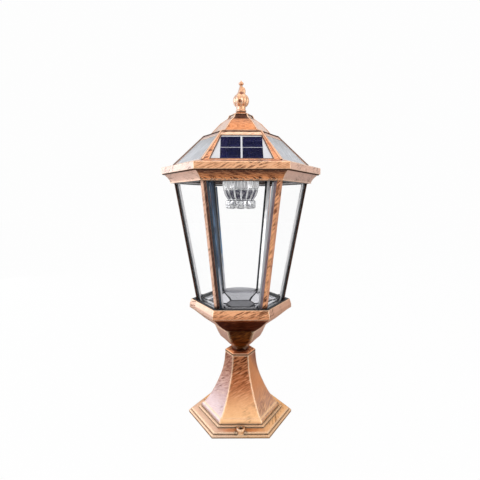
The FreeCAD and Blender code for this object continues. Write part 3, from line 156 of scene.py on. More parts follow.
class Tree:
    """A material's nodes round one Principled shader; each method that draws returns an output socket."""

    def __init__(self, name):
        self.material = bpy.data.materials.new(name)
        self.material.use_nodes = True
        self.nodes = self.material.node_tree.nodes
        self.links = self.material.node_tree.links
        self.nodes.clear()
        self.shader = self.nodes.new("ShaderNodeBsdfPrincipled")
        output = self.nodes.new("ShaderNodeOutputMaterial")
        self.links.new(self.shader.outputs["BSDF"], output.inputs["Surface"])
        self.place = self.nodes.new("ShaderNodeTexCoord").outputs["Object"]

    def feed(self, socket, value):
        if isinstance(value, bpy.types.NodeSocket):
            self.links.new(value, socket)
        else:
            socket.default_value = value

    def surface(self, **values):
        """Sets the shader's sockets, each from a number, a colour or another node."""
        for name, value in values.items():
            socket = self.shader.inputs[name.replace("_", " ")]
            if isinstance(value, tuple) and len(value) == 3:
                value = (*value, 1)
            self.feed(socket, value)

    def math(self, operation, first, second=0.0, clamp=False):
        node = self.nodes.new("ShaderNodeMath")
        node.operation = operation
        node.use_clamp = clamp
        self.feed(node.inputs[0], first)
        self.feed(node.inputs[1], second)
        return node.outputs[0]

    def vector(self, operation, first, second=(0, 0, 0)):
        node = self.nodes.new("ShaderNodeVectorMath")
        node.operation = operation
        self.feed(node.inputs[0], first)
        self.feed(node.inputs[1], second)
        return node.outputs["Value" if operation in ("DOT_PRODUCT", "DISTANCE") else "Vector"]

    def span(self, value, low, high, to_low=0.0, to_high=1.0):
        """A number carried from one range to another, and held at its ends."""
        node = self.nodes.new("ShaderNodeMapRange")
        for socket, number in zip(node.inputs, (value, low, high, to_low, to_high)):
            self.feed(socket, number)
        return node.outputs["Result"]

    def split(self, value):
        """The three parts of a vector, by name."""
        node = self.nodes.new("ShaderNodeSeparateXYZ")
        self.feed(node.inputs[0], value)
        return node.outputs

    def height(self):
        return self.split(self.place)["Z"]

    def stretch(self, *shares):
        """The place with its three parts scaled."""
        return self.vector("MULTIPLY", self.place, shares)

    def noise(self, place, scale, detail, roughness=0.5, warp=0.0):
        node = self.nodes.new("ShaderNodeTexNoise")
        self.feed(node.inputs["Vector"], place)
        node.inputs["Scale"].default_value = scale
        node.inputs["Detail"].default_value = detail
        node.inputs["Roughness"].default_value = roughness
        node.inputs["Distortion"].default_value = warp
        return node.outputs["Fac"]

    def mix(self, share, first, second, kind="MIX"):
        node = self.nodes.new("ShaderNodeMix")
        node.data_type = "RGBA"
        node.blend_type = kind
        node.clamp_result = True
        self.feed(node.inputs["Factor"], share)
        # Sockets 6 and 7 take the colours, and output 2 gives one
        for socket, colour in ((node.inputs[6], first), (node.inputs[7], second)):
            self.feed(socket, (*colour, 1) if isinstance(colour, tuple) else colour)
        return node.outputs[2]

    def bump(self, height, distance, strength, normal=None):
        node = self.nodes.new("ShaderNodeBump")
        node.inputs["Strength"].default_value = strength
        node.inputs["Distance"].default_value = distance
        self.feed(node.inputs["Height"], height)
        if normal is not None:
            self.feed(node.inputs["Normal"], normal)
        return node.outputs["Normal"]

    def soft_edge(self, radius):
        """The surface normal rounded off at the edges."""
        node = self.nodes.new("ShaderNodeBevel")
        node.samples = 4
        node.inputs["Radius"].default_value = radius
        return node.outputs["Normal"]

    def normal(self):
        return self.nodes.new("ShaderNodeNewGeometry").outputs["Normal"]

    def edges(self, rounded, low=0.02, high=0.2):
        """From 0 on a flat face to 1 on an edge."""
        flat = self.nodes.new("ShaderNodeNewGeometry").outputs["True Normal"]
        return self.span(self.vector("DOT_PRODUCT", rounded, flat), 1 - low, 1 - high)

    def crevice_shade(self, distance):
        """From 1 in a crevice to 0 in the open, by ambient occlusion, for painted shade."""
        node = self.nodes.new("ShaderNodeAmbientOcclusion")
        node.samples = 6
        node.inputs["Distance"].default_value = distance
        return self.span(node.outputs["AO"], 0.35, 0.95, 1.0, 0.0)

    def brush(self, angle, along, across, seed):
        """Coordinates in each face, stretched for strokes: so many to the metre, at an angle to the level."""
        up = self.normal()
        # Not quite upright, so that level faces get a direction too
        level = self.vector("NORMALIZE", self.vector("CROSS_PRODUCT", (0.013, 0.007, 1.0), up))
        rise = self.vector("CROSS_PRODUCT", up, level)
        parts = self.nodes.new("ShaderNodeCombineXYZ")
        self.feed(parts.inputs["X"], self.vector("DOT_PRODUCT", self.place, level))
        self.feed(parts.inputs["Y"], self.vector("DOT_PRODUCT", self.place, rise))
        # Faces that look different ways get different strokes
        self.feed(parts.inputs["Z"], self.vector("DOT_PRODUCT", level, (0.31, 0.17, 0.0)))
        turned = self.nodes.new("ShaderNodeVectorRotate")
        turned.rotation_type = "Z_AXIS"
        turned.inputs["Angle"].default_value = -math.radians(angle)
        self.feed(turned.inputs["Vector"], parts.outputs["Vector"])
        scaled = self.vector("MULTIPLY", turned.outputs["Vector"], (along, across, seed))
        return self.vector("ADD", scaled, (seed, seed * 0.7, seed * 1.3))


def wash(tone, share, level=None, band=None, facing=None, streak=None, lines=None, spot=None, slope=None):
    """One layer of tone in a coating, and where it lies.

    level: it fades in from the first height to the second; band: the same, and out again over the last two.
    facing: (axis, low, high), by how far the surface looks to the sides, to +X or away from the lamp's axis.
    streak: how much of it is left between and within broad strokes; lines: it lies in narrow strokes only.
    spot: (centre, radius, edge), a round stain; slope: (way, low, high), it fades in that way.
    """
    return dict(tone=tone, share=share, level=level, band=band, facing=facing, streak=streak, lines=lines,
                spot=spot, slope=slope)


def wash_mask(tree, layer, strokes):
    """How much of a wash lies at each point: its share, times each limit that it names."""
    height = tree.height()
    parts = []
    if layer["level"]:
        parts.append(tree.span(height, *layer["level"]))
    if layer["band"]:
        foot, foot_full, head_full, head = layer["band"]
        parts += [tree.span(height, foot, foot_full), tree.span(height, head, head_full)]
    if layer["facing"]:
        axis, low, high = layer["facing"]
        across = tree.split(tree.normal())["X"]
        if axis == "side":
            across = tree.math("ABSOLUTE", across)
        elif axis == "out":
            across = tree.vector("DOT_PRODUCT", tree.normal(), tree.stretch(1, 1, 0))
        parts.append(tree.span(across, low, high))
    if layer["streak"]:
        parts.append(tree.span(strokes, *BROAD_STROKES, *layer["streak"]))
    if layer["lines"]:
        parts.append(tree.span(strokes, *NARROW_STROKES, 0.0, layer["lines"]))
    if layer["spot"]:
        centre, radius, edge = layer["spot"]
        parts.append(tree.span(tree.vector("DISTANCE", tree.place, centre), radius + edge, radius))
    if layer["slope"]:
        way, low, high = layer["slope"]
        parts.append(tree.span(tree.vector("DOT_PRODUCT", tree.place, way), low, high))
    mask = layer["share"]
    for part in parts:
        mask = tree.math("MULTIPLY", part, mask, clamp=True)
    return mask


def rubbed_edges(tree, rounded, calm, hips):
    """Where a coating is rubbed bright: on its edges, apart from a calm band of heights and level hips."""
    rubbed = tree.math("MULTIPLY", tree.edges(rounded, 0.008, 0.09), 0.9)
    if calm:
        foot, foot_full, head_full, head = calm
        height = tree.height()
        away = tree.math("MULTIPLY", tree.span(height, foot, foot_full), tree.span(height, head, head_full))
        rubbed = tree.math("MULTIPLY", rubbed, tree.math("SUBTRACT", 1.0, away))
    if hips:
        across = tree.math("ABSOLUTE", tree.split(rounded)["X"])
        rubbed = tree.math("MULTIPLY", rubbed, tree.span(across, 0.05, 0.2))
    return rubbed


def copper(name, seed, light=(0.87, 0.40, 0.20), mid=(0.61, 0.205, 0.08), dark=(0.075, 0.019, 0.007),
           cover=0.5, angle=34, rough=0.33, edge_tone=(1.0, 0.76, 0.53), edge=0.0014, coat=0.35, groove=0.007,
           calm=None, hips=False, sheen=(1.0, 1.0, 1.0), pale=0.25):
    """Brushed copper coating: bright metal under its washes, with dark strokes wiped across it and painted
    shade in its crevices.

    seed: sets its strokes apart from those of other coatings.
    light, mid: the metal's two tones; dark: that of its strokes; sheen: the tint of its reflections.
    cover: how much the dark strokes take; angle: their slant in degrees; pale: the share of bright ones.
    edge: the radius of its rubbed edges; groove: how far the painted shade reaches out of a crevice.
    calm: a band of heights without rubbed edges; hips: no rubbed edges lie level on the front and the rear.
    """
    tree = Tree(name)
    rounded = tree.soft_edge(edge)
    strokes = tree.noise(tree.brush(angle, *STROKE_SCALE, seed), 1.0, 4.0, 0.62, 0.35)
    fine = tree.noise(tree.brush(angle - 6, *HAIR_SCALE, seed + 3), 1.0, 3.0, 0.6)
    patches = tree.noise(tree.place, 24.0, 3.0, 0.6)
    tone = tree.noise(tree.place, 9.0, 2.0, 0.5)
    ground = tree.span(patches, 0.64 - cover * 0.34, 0.80 - cover * 0.34)
    stain = tree.math("MULTIPLY", tree.span(strokes, 0.50, 0.60), ground, clamp=True)
    hair = tree.span(fine, 0.50, 0.66, 0.0, 0.5)
    metal = tree.mix(tree.span(tone, 0.38, 0.62), mid, light)
    for layer in WASHES.get(name, ()):
        metal = tree.mix(wash_mask(tree, layer, strokes), metal, layer["tone"])
    metal = tree.mix(hair, metal, tree.mix(1.0, metal, HAIR_TINT, "MULTIPLY"))
    metal = tree.mix(tree.span(strokes, 0.42, 0.32, 0.0, pale), metal, edge_tone)
    metal = tree.mix(tree.math("MULTIPLY", stain, 0.9), metal, dark)
    metal = tree.mix(rubbed_edges(tree, rounded, calm, hips), metal, edge_tone)
    # Painted shade in crevices and grooves, from ambient occlusion
    metal = tree.mix(tree.math("MULTIPLY", tree.crevice_shade(groove), 0.88), metal, CREVICE_SHADE_TONE)
    relief = tree.math("ADD", tree.math("MULTIPLY", strokes, -0.7), tree.math("MULTIPLY", fine, -0.3))
    tree.surface(
        Base_Color=metal,
        Metallic=0.88,
        Roughness=tree.math("ADD", tree.math("MULTIPLY", stain, 0.2),
                            tree.span(hair, 0.0, 0.5, rough, rough + 0.1)),
        Normal=tree.bump(relief, 0.0003, 0.7, rounded),
        Coat_Weight=coat,
        Coat_Roughness=0.24,
        Specular_Tint=(*sheen, 1.0),
    )
    return tree.material


def plain(name, colour, second, rough, metallic, wear, grain=160.0, specular=0.5, depth=0.00005, rear=None):
    """A moulded, painted or sheet finish: two close tones, an uneven gloss, a fine grain and rubbed edges.

    wear: the tone of the edges; grain, depth: how fine and how high the grain is; rear: the tone of the walls
    that look to the front, painted darker as shade.
    """
    tree = Tree(name)
    rounded = tree.soft_edge(0.0006)
    cloud = tree.noise(tree.place, 14.0, 3.0, 0.55)
    fine = tree.noise(tree.place, grain, 4.0, 0.6)
    tone = tree.mix(tree.span(cloud, 0.36, 0.64), colour, second)
    # Painted shade: walls that look to the front are darker
    if rear:
        tone = tree.mix(tree.span(tree.split(tree.normal())["Y"], -0.2, -0.27), tone, rear)
    if wear:
        tone = tree.mix(tree.math("MULTIPLY", tree.edges(rounded), tree.span(fine, 0.3, 0.6)), tone, wear)
    tree.surface(Base_Color=tone, Metallic=metallic, Specular_IOR_Level=specular,
                 Roughness=tree.span(fine, 0.3, 0.7, rough - 0.06, rough + 0.08),
                 Normal=tree.bump(fine, depth, 0.6, rounded))
    return tree.material


def clear(name, tint, low, high, rough=0.04):
    """Clear sheet: nearly unseen face on and paler aslant, as a painted reflection, with faint smears and
    greyer edges.
    """
    tree = Tree(name)
    facing = tree.nodes.new("ShaderNodeLayerWeight")
    facing.inputs["Blend"].default_value = 0.3
    smear = tree.noise(tree.place, 26.0, 4.0, 0.6, 0.8)
    # The pale tint shows more aslant: a painted reflection
    body = tree.span(facing.outputs["Facing"], 0.3, 1.0, low, high)
    rounded = tree.soft_edge(0.0005)
    edge = tree.edges(rounded)
    tree.surface(
        Base_Color=tree.mix(edge, tint, (0.30, 0.36, 0.37)),
        Roughness=tree.span(smear, 0.35, 0.7, rough, rough + 0.05),
        Alpha=tree.math("MAXIMUM", tree.math("MULTIPLY", body, tree.span(smear, 0.3, 0.7, 0.7, 1.3)),
                        tree.math("MULTIPLY", edge, 0.4)),
        Normal=tree.bump(smear, 0.00002, 0.3, rounded),
    )
    return tree.material


def flute_ridges(tree, waver):
    """Upright stripes round the axis, from 0 in the hollows to 1 on the ridges of the lens's flutes."""
    parts = tree.split(tree.place)
    turn = tree.math("ARCTAN2", parts["Y"], parts["X"])
    phase = tree.math("ADD", tree.math("MULTIPLY", turn, FLUTES), waver)
    return tree.span(tree.math("COSINE", phase), 0.35, 0.95)


def crystal(name):
    """Pressed glass: clear on the ridges of its flutes and specked in the skirt, with painted dark refraction
    streaked in the hollows of the bell.
    """
    tree = Tree(name)
    ripple = tree.noise(tree.place, 190.0, 3.0, 0.6)
    streak = tree.noise(tree.stretch(420.0, 420.0, 60.0), 1.0, 3.0, 0.6)
    level = tree.height()
    ridge = flute_ridges(tree, tree.span(ripple, 0.3, 0.7, -0.25, 0.25))
    arch = tree.math("ADD", level, tree.math("MULTIPLY", ridge, 0.0022))
    bell = tree.math("MULTIPLY", tree.span(level, *LENS_PAINTED_DARK_LOW), tree.span(arch, *LENS_PAINTED_DARK_HIGH))
    hollow = tree.math("SUBTRACT", 1.0, ridge, clamp=True)
    # Painted dark refraction: streaked dark in the hollows of the bell, for the lamp's dark inside seen
    # through the glass
    bell_painted_dark = tree.math("MULTIPLY", bell, tree.span(streak, 0.30, 0.52, 0.45, 1.0))
    painted_dark_refraction = tree.math("MULTIPLY", bell_painted_dark, hollow, clamp=True)
    clean = tree.mix(tree.span(ripple, 0.38, 0.62), (0.80, 0.81, 0.84), (1.0, 1.0, 1.0))
    speck = tree.span(tree.noise(tree.place, 330.0, 2.0, 0.5), 0.50, 0.62, 0.0, 0.85)
    patch = tree.math("MULTIPLY", tree.span(level, 0.3716, 0.3706), speck, clamp=True)
    clean = tree.mix(patch, clean, (0.30, 0.30, 0.34))
    tree.surface(
        Base_Color=tree.mix(painted_dark_refraction, clean, (0.055, 0.05, 0.095)),
        Roughness=tree.span(ripple, 0.3, 0.7, 0.10, 0.2),
        Normal=tree.bump(ripple, 0.0004, 0.6),
        Metallic=tree.math("SUBTRACT", 0.6, tree.math("MULTIPLY", painted_dark_refraction, 0.6), clamp=True),
        Transmission_Weight=tree.math("SUBTRACT", 0.8, tree.math("MULTIPLY", bell, 0.6)),
        IOR=1.49,
    )
    return tree.material


def panel(name):
    """Glossy grey roof panel, lighter towards the eave, with slanting dark and bright lines."""
    tree = Tree(name)
    rounded = tree.soft_edge(0.0006)
    cloud = tree.noise(tree.stretch(1.0, 1.0, 2.5), 20.0, 3.0, 0.55)
    level = tree.math("ADD", tree.height(), tree.span(cloud, 0.3, 0.7, -0.012, 0.012))
    tone = tree.mix(tree.span(level, 0.432, 0.466), (0.52, 0.55, 0.61), (0.29, 0.30, 0.33))
    fine = tree.noise(tree.place, 300.0, 3.0, 0.6)
    lines = tree.noise(tree.brush(62, 45, 420, 6.0), 1.0, 3.0, 0.6, 0.3)
    tone = tree.mix(tree.span(lines, 0.55, 0.64, 0.0, 0.55), tone, (0.17, 0.19, 0.23))
    tone = tree.mix(tree.span(lines, 0.43, 0.35, 0.0, 0.5), tone, (0.86, 0.87, 0.90))
    tree.surface(Base_Color=tree.mix(tree.edges(rounded), tone, (0.8, 0.8, 0.82)),
                 Roughness=tree.span(fine, 0.3, 0.7, 0.14, 0.24),
                 Normal=tree.bump(fine, 0.00003, 0.4, rounded))
    return tree.material


def two_tone(name, way, near, far, low=-0.0002, high=0.0010, metallic=0.0):
    """A rubber seal of two tones: near is the one that lies further that way than the levels given."""
    tree = Tree(name)
    rounded = tree.soft_edge(0.0005)
    fine = tree.noise(tree.stretch(1.0, 1.0, 0.12), 420.0, 4.0, 0.6)
    tone = tree.mix(tree.span(tree.vector("DOT_PRODUCT", tree.place, way), low, high), far, near)
    tone = tree.mix(tree.span(fine, 0.35, 0.65, 0.0, 0.25), tone, (0.02, 0.03, 0.05))
    tree.surface(Base_Color=tone, Metallic=metallic, Roughness=tree.span(fine, 0.3, 0.7, 0.28, 0.42),
                 Normal=tree.bump(fine, 0.00004, 0.5, rounded))
    return tree.material


def bead(name):
    """A painted glazing bead, navy above and bare towards its foot."""
    tree = Tree(name)
    rounded = tree.soft_edge(0.0004)
    fine = tree.noise(tree.stretch(1.0, 1.0, 0.10), 320.0, 4.0, 0.6)
    height = tree.math("ADD", tree.height(), tree.span(fine, 0.3, 0.7, -0.02, 0.02))
    patch = tree.noise(tree.stretch(1.0, 1.0, 0.35), 90.0, 3.0, 0.6)
    lighter = tree.math("MULTIPLY", tree.span(patch, 0.45, 0.6), tree.span(height, 0.37, 0.32))
    navy = tree.mix(lighter, (0.05, 0.080, 0.14), (0.13, 0.24, 0.40))
    tone = tree.mix(tree.span(height, 0.275, 0.235), navy, (0.62, 0.62, 0.66))
    tree.surface(Base_Color=tone, Metallic=0.3, Roughness=tree.span(fine, 0.3, 0.7, 0.3, 0.42),
                 Normal=tree.bump(fine, 0.00003, 0.5, rounded))
    return tree.material


def silicon(name):
    """Solar cell: deep blue with a faint crystal pattern and a violet cloud."""
    tree = Tree(name)
    grains = tree.nodes.new("ShaderNodeTexVoronoi")
    grains.inputs["Scale"].default_value = 240.0
    tree.feed(grains.inputs["Vector"], tree.place)
    shade = tree.nodes.new("ShaderNodeSeparateColor")
    tree.feed(shade.inputs[0], grains.outputs["Color"])
    blue = tree.mix(tree.span(shade.outputs[0], 0.0, 1.0), (0.006, 0.007, 0.058), (0.010, 0.011, 0.075))
    cloud = tree.noise(tree.place, 30.0, 2.0)
    tree.surface(Base_Color=tree.mix(tree.span(cloud, 0.45, 0.7, 0.0, 0.3), blue, (0.03, 0.012, 0.05)),
                 Roughness=tree.span(shade.outputs[0], 0.0, 1.0, 0.3, 0.4),
                 Normal=tree.bump(shade.outputs[0], 0.00001, 0.3),
                 Specular_IOR_Level=0.05)
    return tree.material


# Layers of tone of each copper coating, by its name and in their order; many are painted light and shade, set
# by height and by the way a face looks
WASHES = {
    "pedestal_copper": (
        # Painted highlight: lighter and golden towards the foot
        wash((1.0, 0.60, 0.30), 0.85, level=(0.060, 0.018)),
        # Painted light on the faces to the left: pale near the foot, lavender above, browner high up
        wash((1.0, 0.72, 0.58), 0.75, level=(0.0128, 0.0120), slope=((-0.87, -0.5, 0), 0.035, 0.060)),
        wash((0.80, 0.62, 0.56), 0.85, band=(0.0122, 0.0130, 0.0185, 0.0200), facing=("x", -0.06, -0.15)),
        wash((0.55, 0.47, 0.52), 0.9, level=(0.0118, 0.0128), facing=LEFT),
        wash((0.60, 0.30, 0.20), 0.8, level=(0.030, 0.085), facing=LEFT),
        wash((0.22, 0.07, 0.045), 0.8, level=(0.030, 0.095), facing=LEFT, lines=1.0),
        # Painted light and shade on the faces to the right: more orange high up, darker near the foot
        wash((0.74, 0.34, 0.17), 0.6, level=(0.030, 0.080), facing=RIGHT),
        wash((0.36, 0.20, 0.20), 0.7, band=(0.014, 0.017, 0.030, 0.060), facing=RIGHT, streak=(0.3, 1.0)),
        wash((0.34, 0.17, 0.15), 0.75, facing=RIGHT, level=(0.016, 0.024),
             slope=((0.87, 0.5, 0.62), 0.068, 0.080)),
        # Darker on the front and rear high up: part brushed strokes, part painted shade
        wash((0.30, 0.09, 0.03), 0.8, level=(0.030, 0.100), facing=FRONT, streak=(0.4, 1.1)),
        wash((0.07, 0.016, 0.005), 0.95, level=(0.040, 0.090), facing=FRONT, lines=1.0),
        # Painted shade in the bolt holes of both bosses, and the shade at the foot of the front one
        *(wash((0.05, 0.012, 0.004), 1.0, spot=((0, y, 0.0120), 0.0046, 0.0016)) for y in (-0.0705, 0.0705)),
        *(wash((0.12, 0.035, 0.012), 0.85, spot=((x, -0.0740, 0.0070), 0.0022, 0.0030))
          for x in (-0.0070, 0.0070))),
    "collar_copper": (
        # Painted shadow at the collar's foot
        wash((0.16, 0.05, 0.02), 0.85, level=(0.1140, 0.1128)),
        wash((0.10, 0.03, 0.012), 0.9, level=(0.1152, 0.1166), streak=(0.2, 1.1))),
    "neck_copper": (
        # Painted light and shade: pale sides as a painted reflection; the front and rear painted dark as
        # shade, darkest above and near the foot, with dark strokes
        wash((0.90, 0.68, 0.60), 0.9, facing=SIDE),
        wash((0.40, 0.14, 0.025), 0.97, facing=FRONT),
        wash((0.16, 0.035, 0.010), 0.8, level=(0.1215, 0.1180), facing=FRONT),
        wash((0.035, 0.008, 0.002), 0.98, level=(0.124, 0.146), facing=FRONT, streak=(0.65, 1.1)),
        wash((0.050, 0.010, 0.003), 0.8, facing=FRONT, lines=1.0)),
    "bowl_copper": (
        # Painted light on the faces to the left and right, and a painted highlight high on the front and rear
        wash((0.86, 0.66, 0.57), 0.85, facing=LEFT),
        wash((0.80, 0.52, 0.40), 0.8, facing=RIGHT),
        wash((0.98, 0.52, 0.28), 0.55, level=(0.1880, 0.1960), facing=FRONT),
        wash((0.22, 0.07, 0.025), 0.9, facing=FRONT, lines=0.8),
        wash((0.18, 0.05, 0.018), 0.8, band=(0.1850, 0.1868, 0.1890, 0.1905), streak=(0.0, 1.0)),
        # Painted shade: very dark low on the front and rear
        wash((0.034, 0.007, 0.002), 1.0, level=(0.1868, 0.1840), facing=FRONT, streak=(0.8, 1.1))),
    "fascia_copper": (
        # Painted shade: deeper orange on the front and rear
        wash((0.80, 0.29, 0.095), 0.85, facing=FRONT),
        wash((0.10, 0.025, 0.006), 1.0, facing=FRONT, lines=1.0),
        # Painted shadow under the eave, at the top of the cove on the front and rear
        wash((0.06, 0.014, 0.004), 1.0, level=(0.4030, 0.4105), facing=FRONT, streak=(0.6, 1.1)),
        # Painted highlight: pale on the sides
        wash((0.74, 0.48, 0.38), 0.85, facing=SIDE),
        wash((0.50, 0.27, 0.19), 0.3, facing=SIDE, lines=0.9),
        wash((0.95, 0.87, 0.84), 1.0, facing=("out", -0.01, -0.03))),
    "roof_copper": (
        # Painted highlights on the front and rear: lighter at the eave and at the head
        wash((1.0, 0.56, 0.31), 0.7, level=(0.4245, 0.4235), facing=FRONT),
        wash((0.93, 0.62, 0.44), 0.75, level=(0.4680, 0.4690), facing=FRONT),
        # Painted light on the faces to the left and right
        wash((0.62, 0.47, 0.43), 0.85, facing=("x", -0.3, -0.6)),
        wash((0.72, 0.45, 0.33), 0.8, facing=("x", 0.3, 0.6)),
        wash((0.28, 0.09, 0.03), 0.75, facing=FRONT, lines=0.8)),
    "crown_copper": (
        # Painted shade: darker orange on the front and rear
        wash((0.60, 0.22, 0.075), 0.9, facing=FRONT),
        wash((0.28, 0.09, 0.03), 0.7, facing=FRONT, lines=0.8),
        # Painted highlight: pale on the sides
        wash((0.78, 0.64, 0.56), 0.85, facing=SIDE),
        # Painted shadow under the lip, on the front and rear of the riser
        wash((0.085, 0.016, 0.002), 1.0, band=(0.4978, 0.4988, 0.5070, 0.5078), facing=FRONT)),
    "finial_copper": (
        # Painted highlight on the left, and painted shade on the faces turned furthest to the sides
        wash((0.92, 0.74, 0.66), 0.7, facing=("x", -0.2, -0.7)),
        wash((0.26, 0.085, 0.03), 0.85, facing=("side", 0.78, 0.93)),
        wash((0.10, 0.014, 0.006), 1.0, spot=((-0.0014, -0.0112, 0.5290), 0.0024, 0.0010)),
        wash((0.14, 0.030, 0.010), 1.0, spot=((0.0008, -0.0070, 0.5420), 0.0026, 0.0018)),
        wash((0.36, 0.12, 0.04), 0.6, lines=0.8)),
    "bar_copper": (
        # Painted light and shade by side: bright orange where faces do not turn to +X, and a duller tone
        # where they do
        wash((1.0, 0.50, 0.25), 0.9, facing=("x", 0.6, 0.5)),
        wash((0.16, 0.04, 0.016), 0.95, lines=0.9),
        wash((0.16, 0.04, 0.015), 0.8, facing=("x", 0.6, 0.5), level=(0.300, 0.360), streak=(0.0, 0.9)),
        wash((0.85, 0.42, 0.25), 0.6, facing=("x", 0.5, 0.6))),
    "shaded_bar_copper": (
        # Painted highlight over the whole bar, and painted shade on its right half
        wash((1.0, 0.66, 0.50), 0.85),
        wash((0.30, 0.10, 0.05), 0.8, lines=0.7),
        wash((0.045, 0.012, 0.007), 1.0, slope=((1.0, 0.0, 0.0897), -0.0192, -0.0180), streak=(0.8, 1.1))),
}

# Finishes, under the name of a node, a family of nodes, a material slot or a piece of trim
LOOKS = {
    "pedestal": copper("pedestal_copper", 2.0, cover=0.25, edge=0.0042, coat=0.1, sheen=(0.55, 0.32, 0.18)),
    "collar": copper("collar_copper", 5.0, edge=0.0016, groove=0.0045, coat=0.1, sheen=(0.55, 0.32, 0.18)),
    "neck": copper("neck_copper", 7.0, cover=0.3, edge=0.0070, coat=0.03, dark=(0.045, 0.012, 0.004),
                   pale=0.0, sheen=(0.35, 0.16, 0.08), hips=True),
    "bowl": copper("bowl_copper", 9.0, cover=0.55, angle=22, edge=0.0026, coat=0.12, pale=0.1,
                   sheen=(0.6, 0.4, 0.3), calm=(0.150, 0.151, 0.180, 0.183)),
    "fascia_ring": copper("fascia_copper", 11.0, angle=38, edge=0.0018),
    "roof_frame": copper("roof_copper", 13.0, cover=0.6, angle=24),
    "crown": copper("crown_copper", 15.0, angle=18, calm=(0.4980, 0.4990, 0.5072, 0.5080)),
    "finial": copper("finial_copper", 17.0, light=(1.0, 0.60, 0.36), mid=(0.80, 0.33, 0.15), cover=0.2,
                     rough=0.26, groove=0.0075, angle=52),
    "corner_bar": copper("bar_copper", 19.0, cover=0.6, angle=48, edge=0.0010, edge_tone=(0.62, 0.22, 0.10)),
    "shaded_bar": copper("shaded_bar_copper", 20.0, angle=48, edge=0.0008, edge_tone=(0.35, 0.15, 0.09)),
    # The left and right bars: a copy of the bar copper painted dark, as shade
    "shaded_side_bar": copper("shaded_side_bar_copper", 21.0, light=(0.16, 0.085, 0.06), mid=(0.055, 0.03, 0.022),
                       dark=(0.010, 0.007, 0.006), cover=0.9, angle=48,
                       edge_tone=(0.09, 0.05, 0.04), coat=0.1, sheen=(0.3, 0.2, 0.15)),
    "hip": copper("hip_copper", 23.0, light=(0.95, 0.52, 0.30), mid=(0.70, 0.27, 0.12), cover=0.3),
    # The left and right roof hips: a dark copy of the hip copper, painted shade
    "shaded_hip": copper("shaded_hip_copper", 25.0, light=(0.30, 0.17, 0.12), mid=(0.14, 0.07, 0.045),
                       edge_tone=(0.5, 0.34, 0.26)),
    "left_seal": two_tone("left_seal", (1, 0, 0.1794), (0.85, 0.85, 0.87), (0.010, 0.010, 0.012),
                          -0.0331, -0.0324),
    "right_seal": two_tone("right_seal", (-1, 0, 0.1794), (0.85, 0.85, 0.87), (0.010, 0.010, 0.012),
                           -0.0331, -0.0324),
    "rear_left_seal": two_tone("rear_left_seal", (0.866, 0.5, 0), (0.006, 0.008, 0.014),
                               (0.045, 0.075, 0.135)),
    "rear_right_seal": two_tone("rear_right_seal", (-0.866, 0.5, 0), (0.010, 0.010, 0.013),
                                (0.95, 0.95, 0.95), metallic=0.7),
    "head_seal": two_tone("head_ring_seal", (0, 0, -1), (0.012, 0.010, 0.012), (0.98, 0.93, 0.92),
                          -0.3996, -0.3990),
    "navy_bead": bead("navy_bead"),
    "tray": plain("tray_metal", (0.74, 0.74, 0.78), (0.58, 0.58, 0.62), 0.2, 0.9, (0.9, 0.9, 0.9), 60.0,
                  depth=0.00001, rear=(0.46, 0.46, 0.49)),
    "clear_glass": clear("clear_glass", (0.90, 0.93, 0.94), 0.006, 0.12),
    "cover_glass": clear("cover_glass", (0.9, 0.92, 0.96), 0.004, 0.10, 0.05),
    "crystal": crystal("crystal"),
    "grey_panel": panel("grey_panel"),
    "silicon_blue": silicon("silicon_blue"),
}
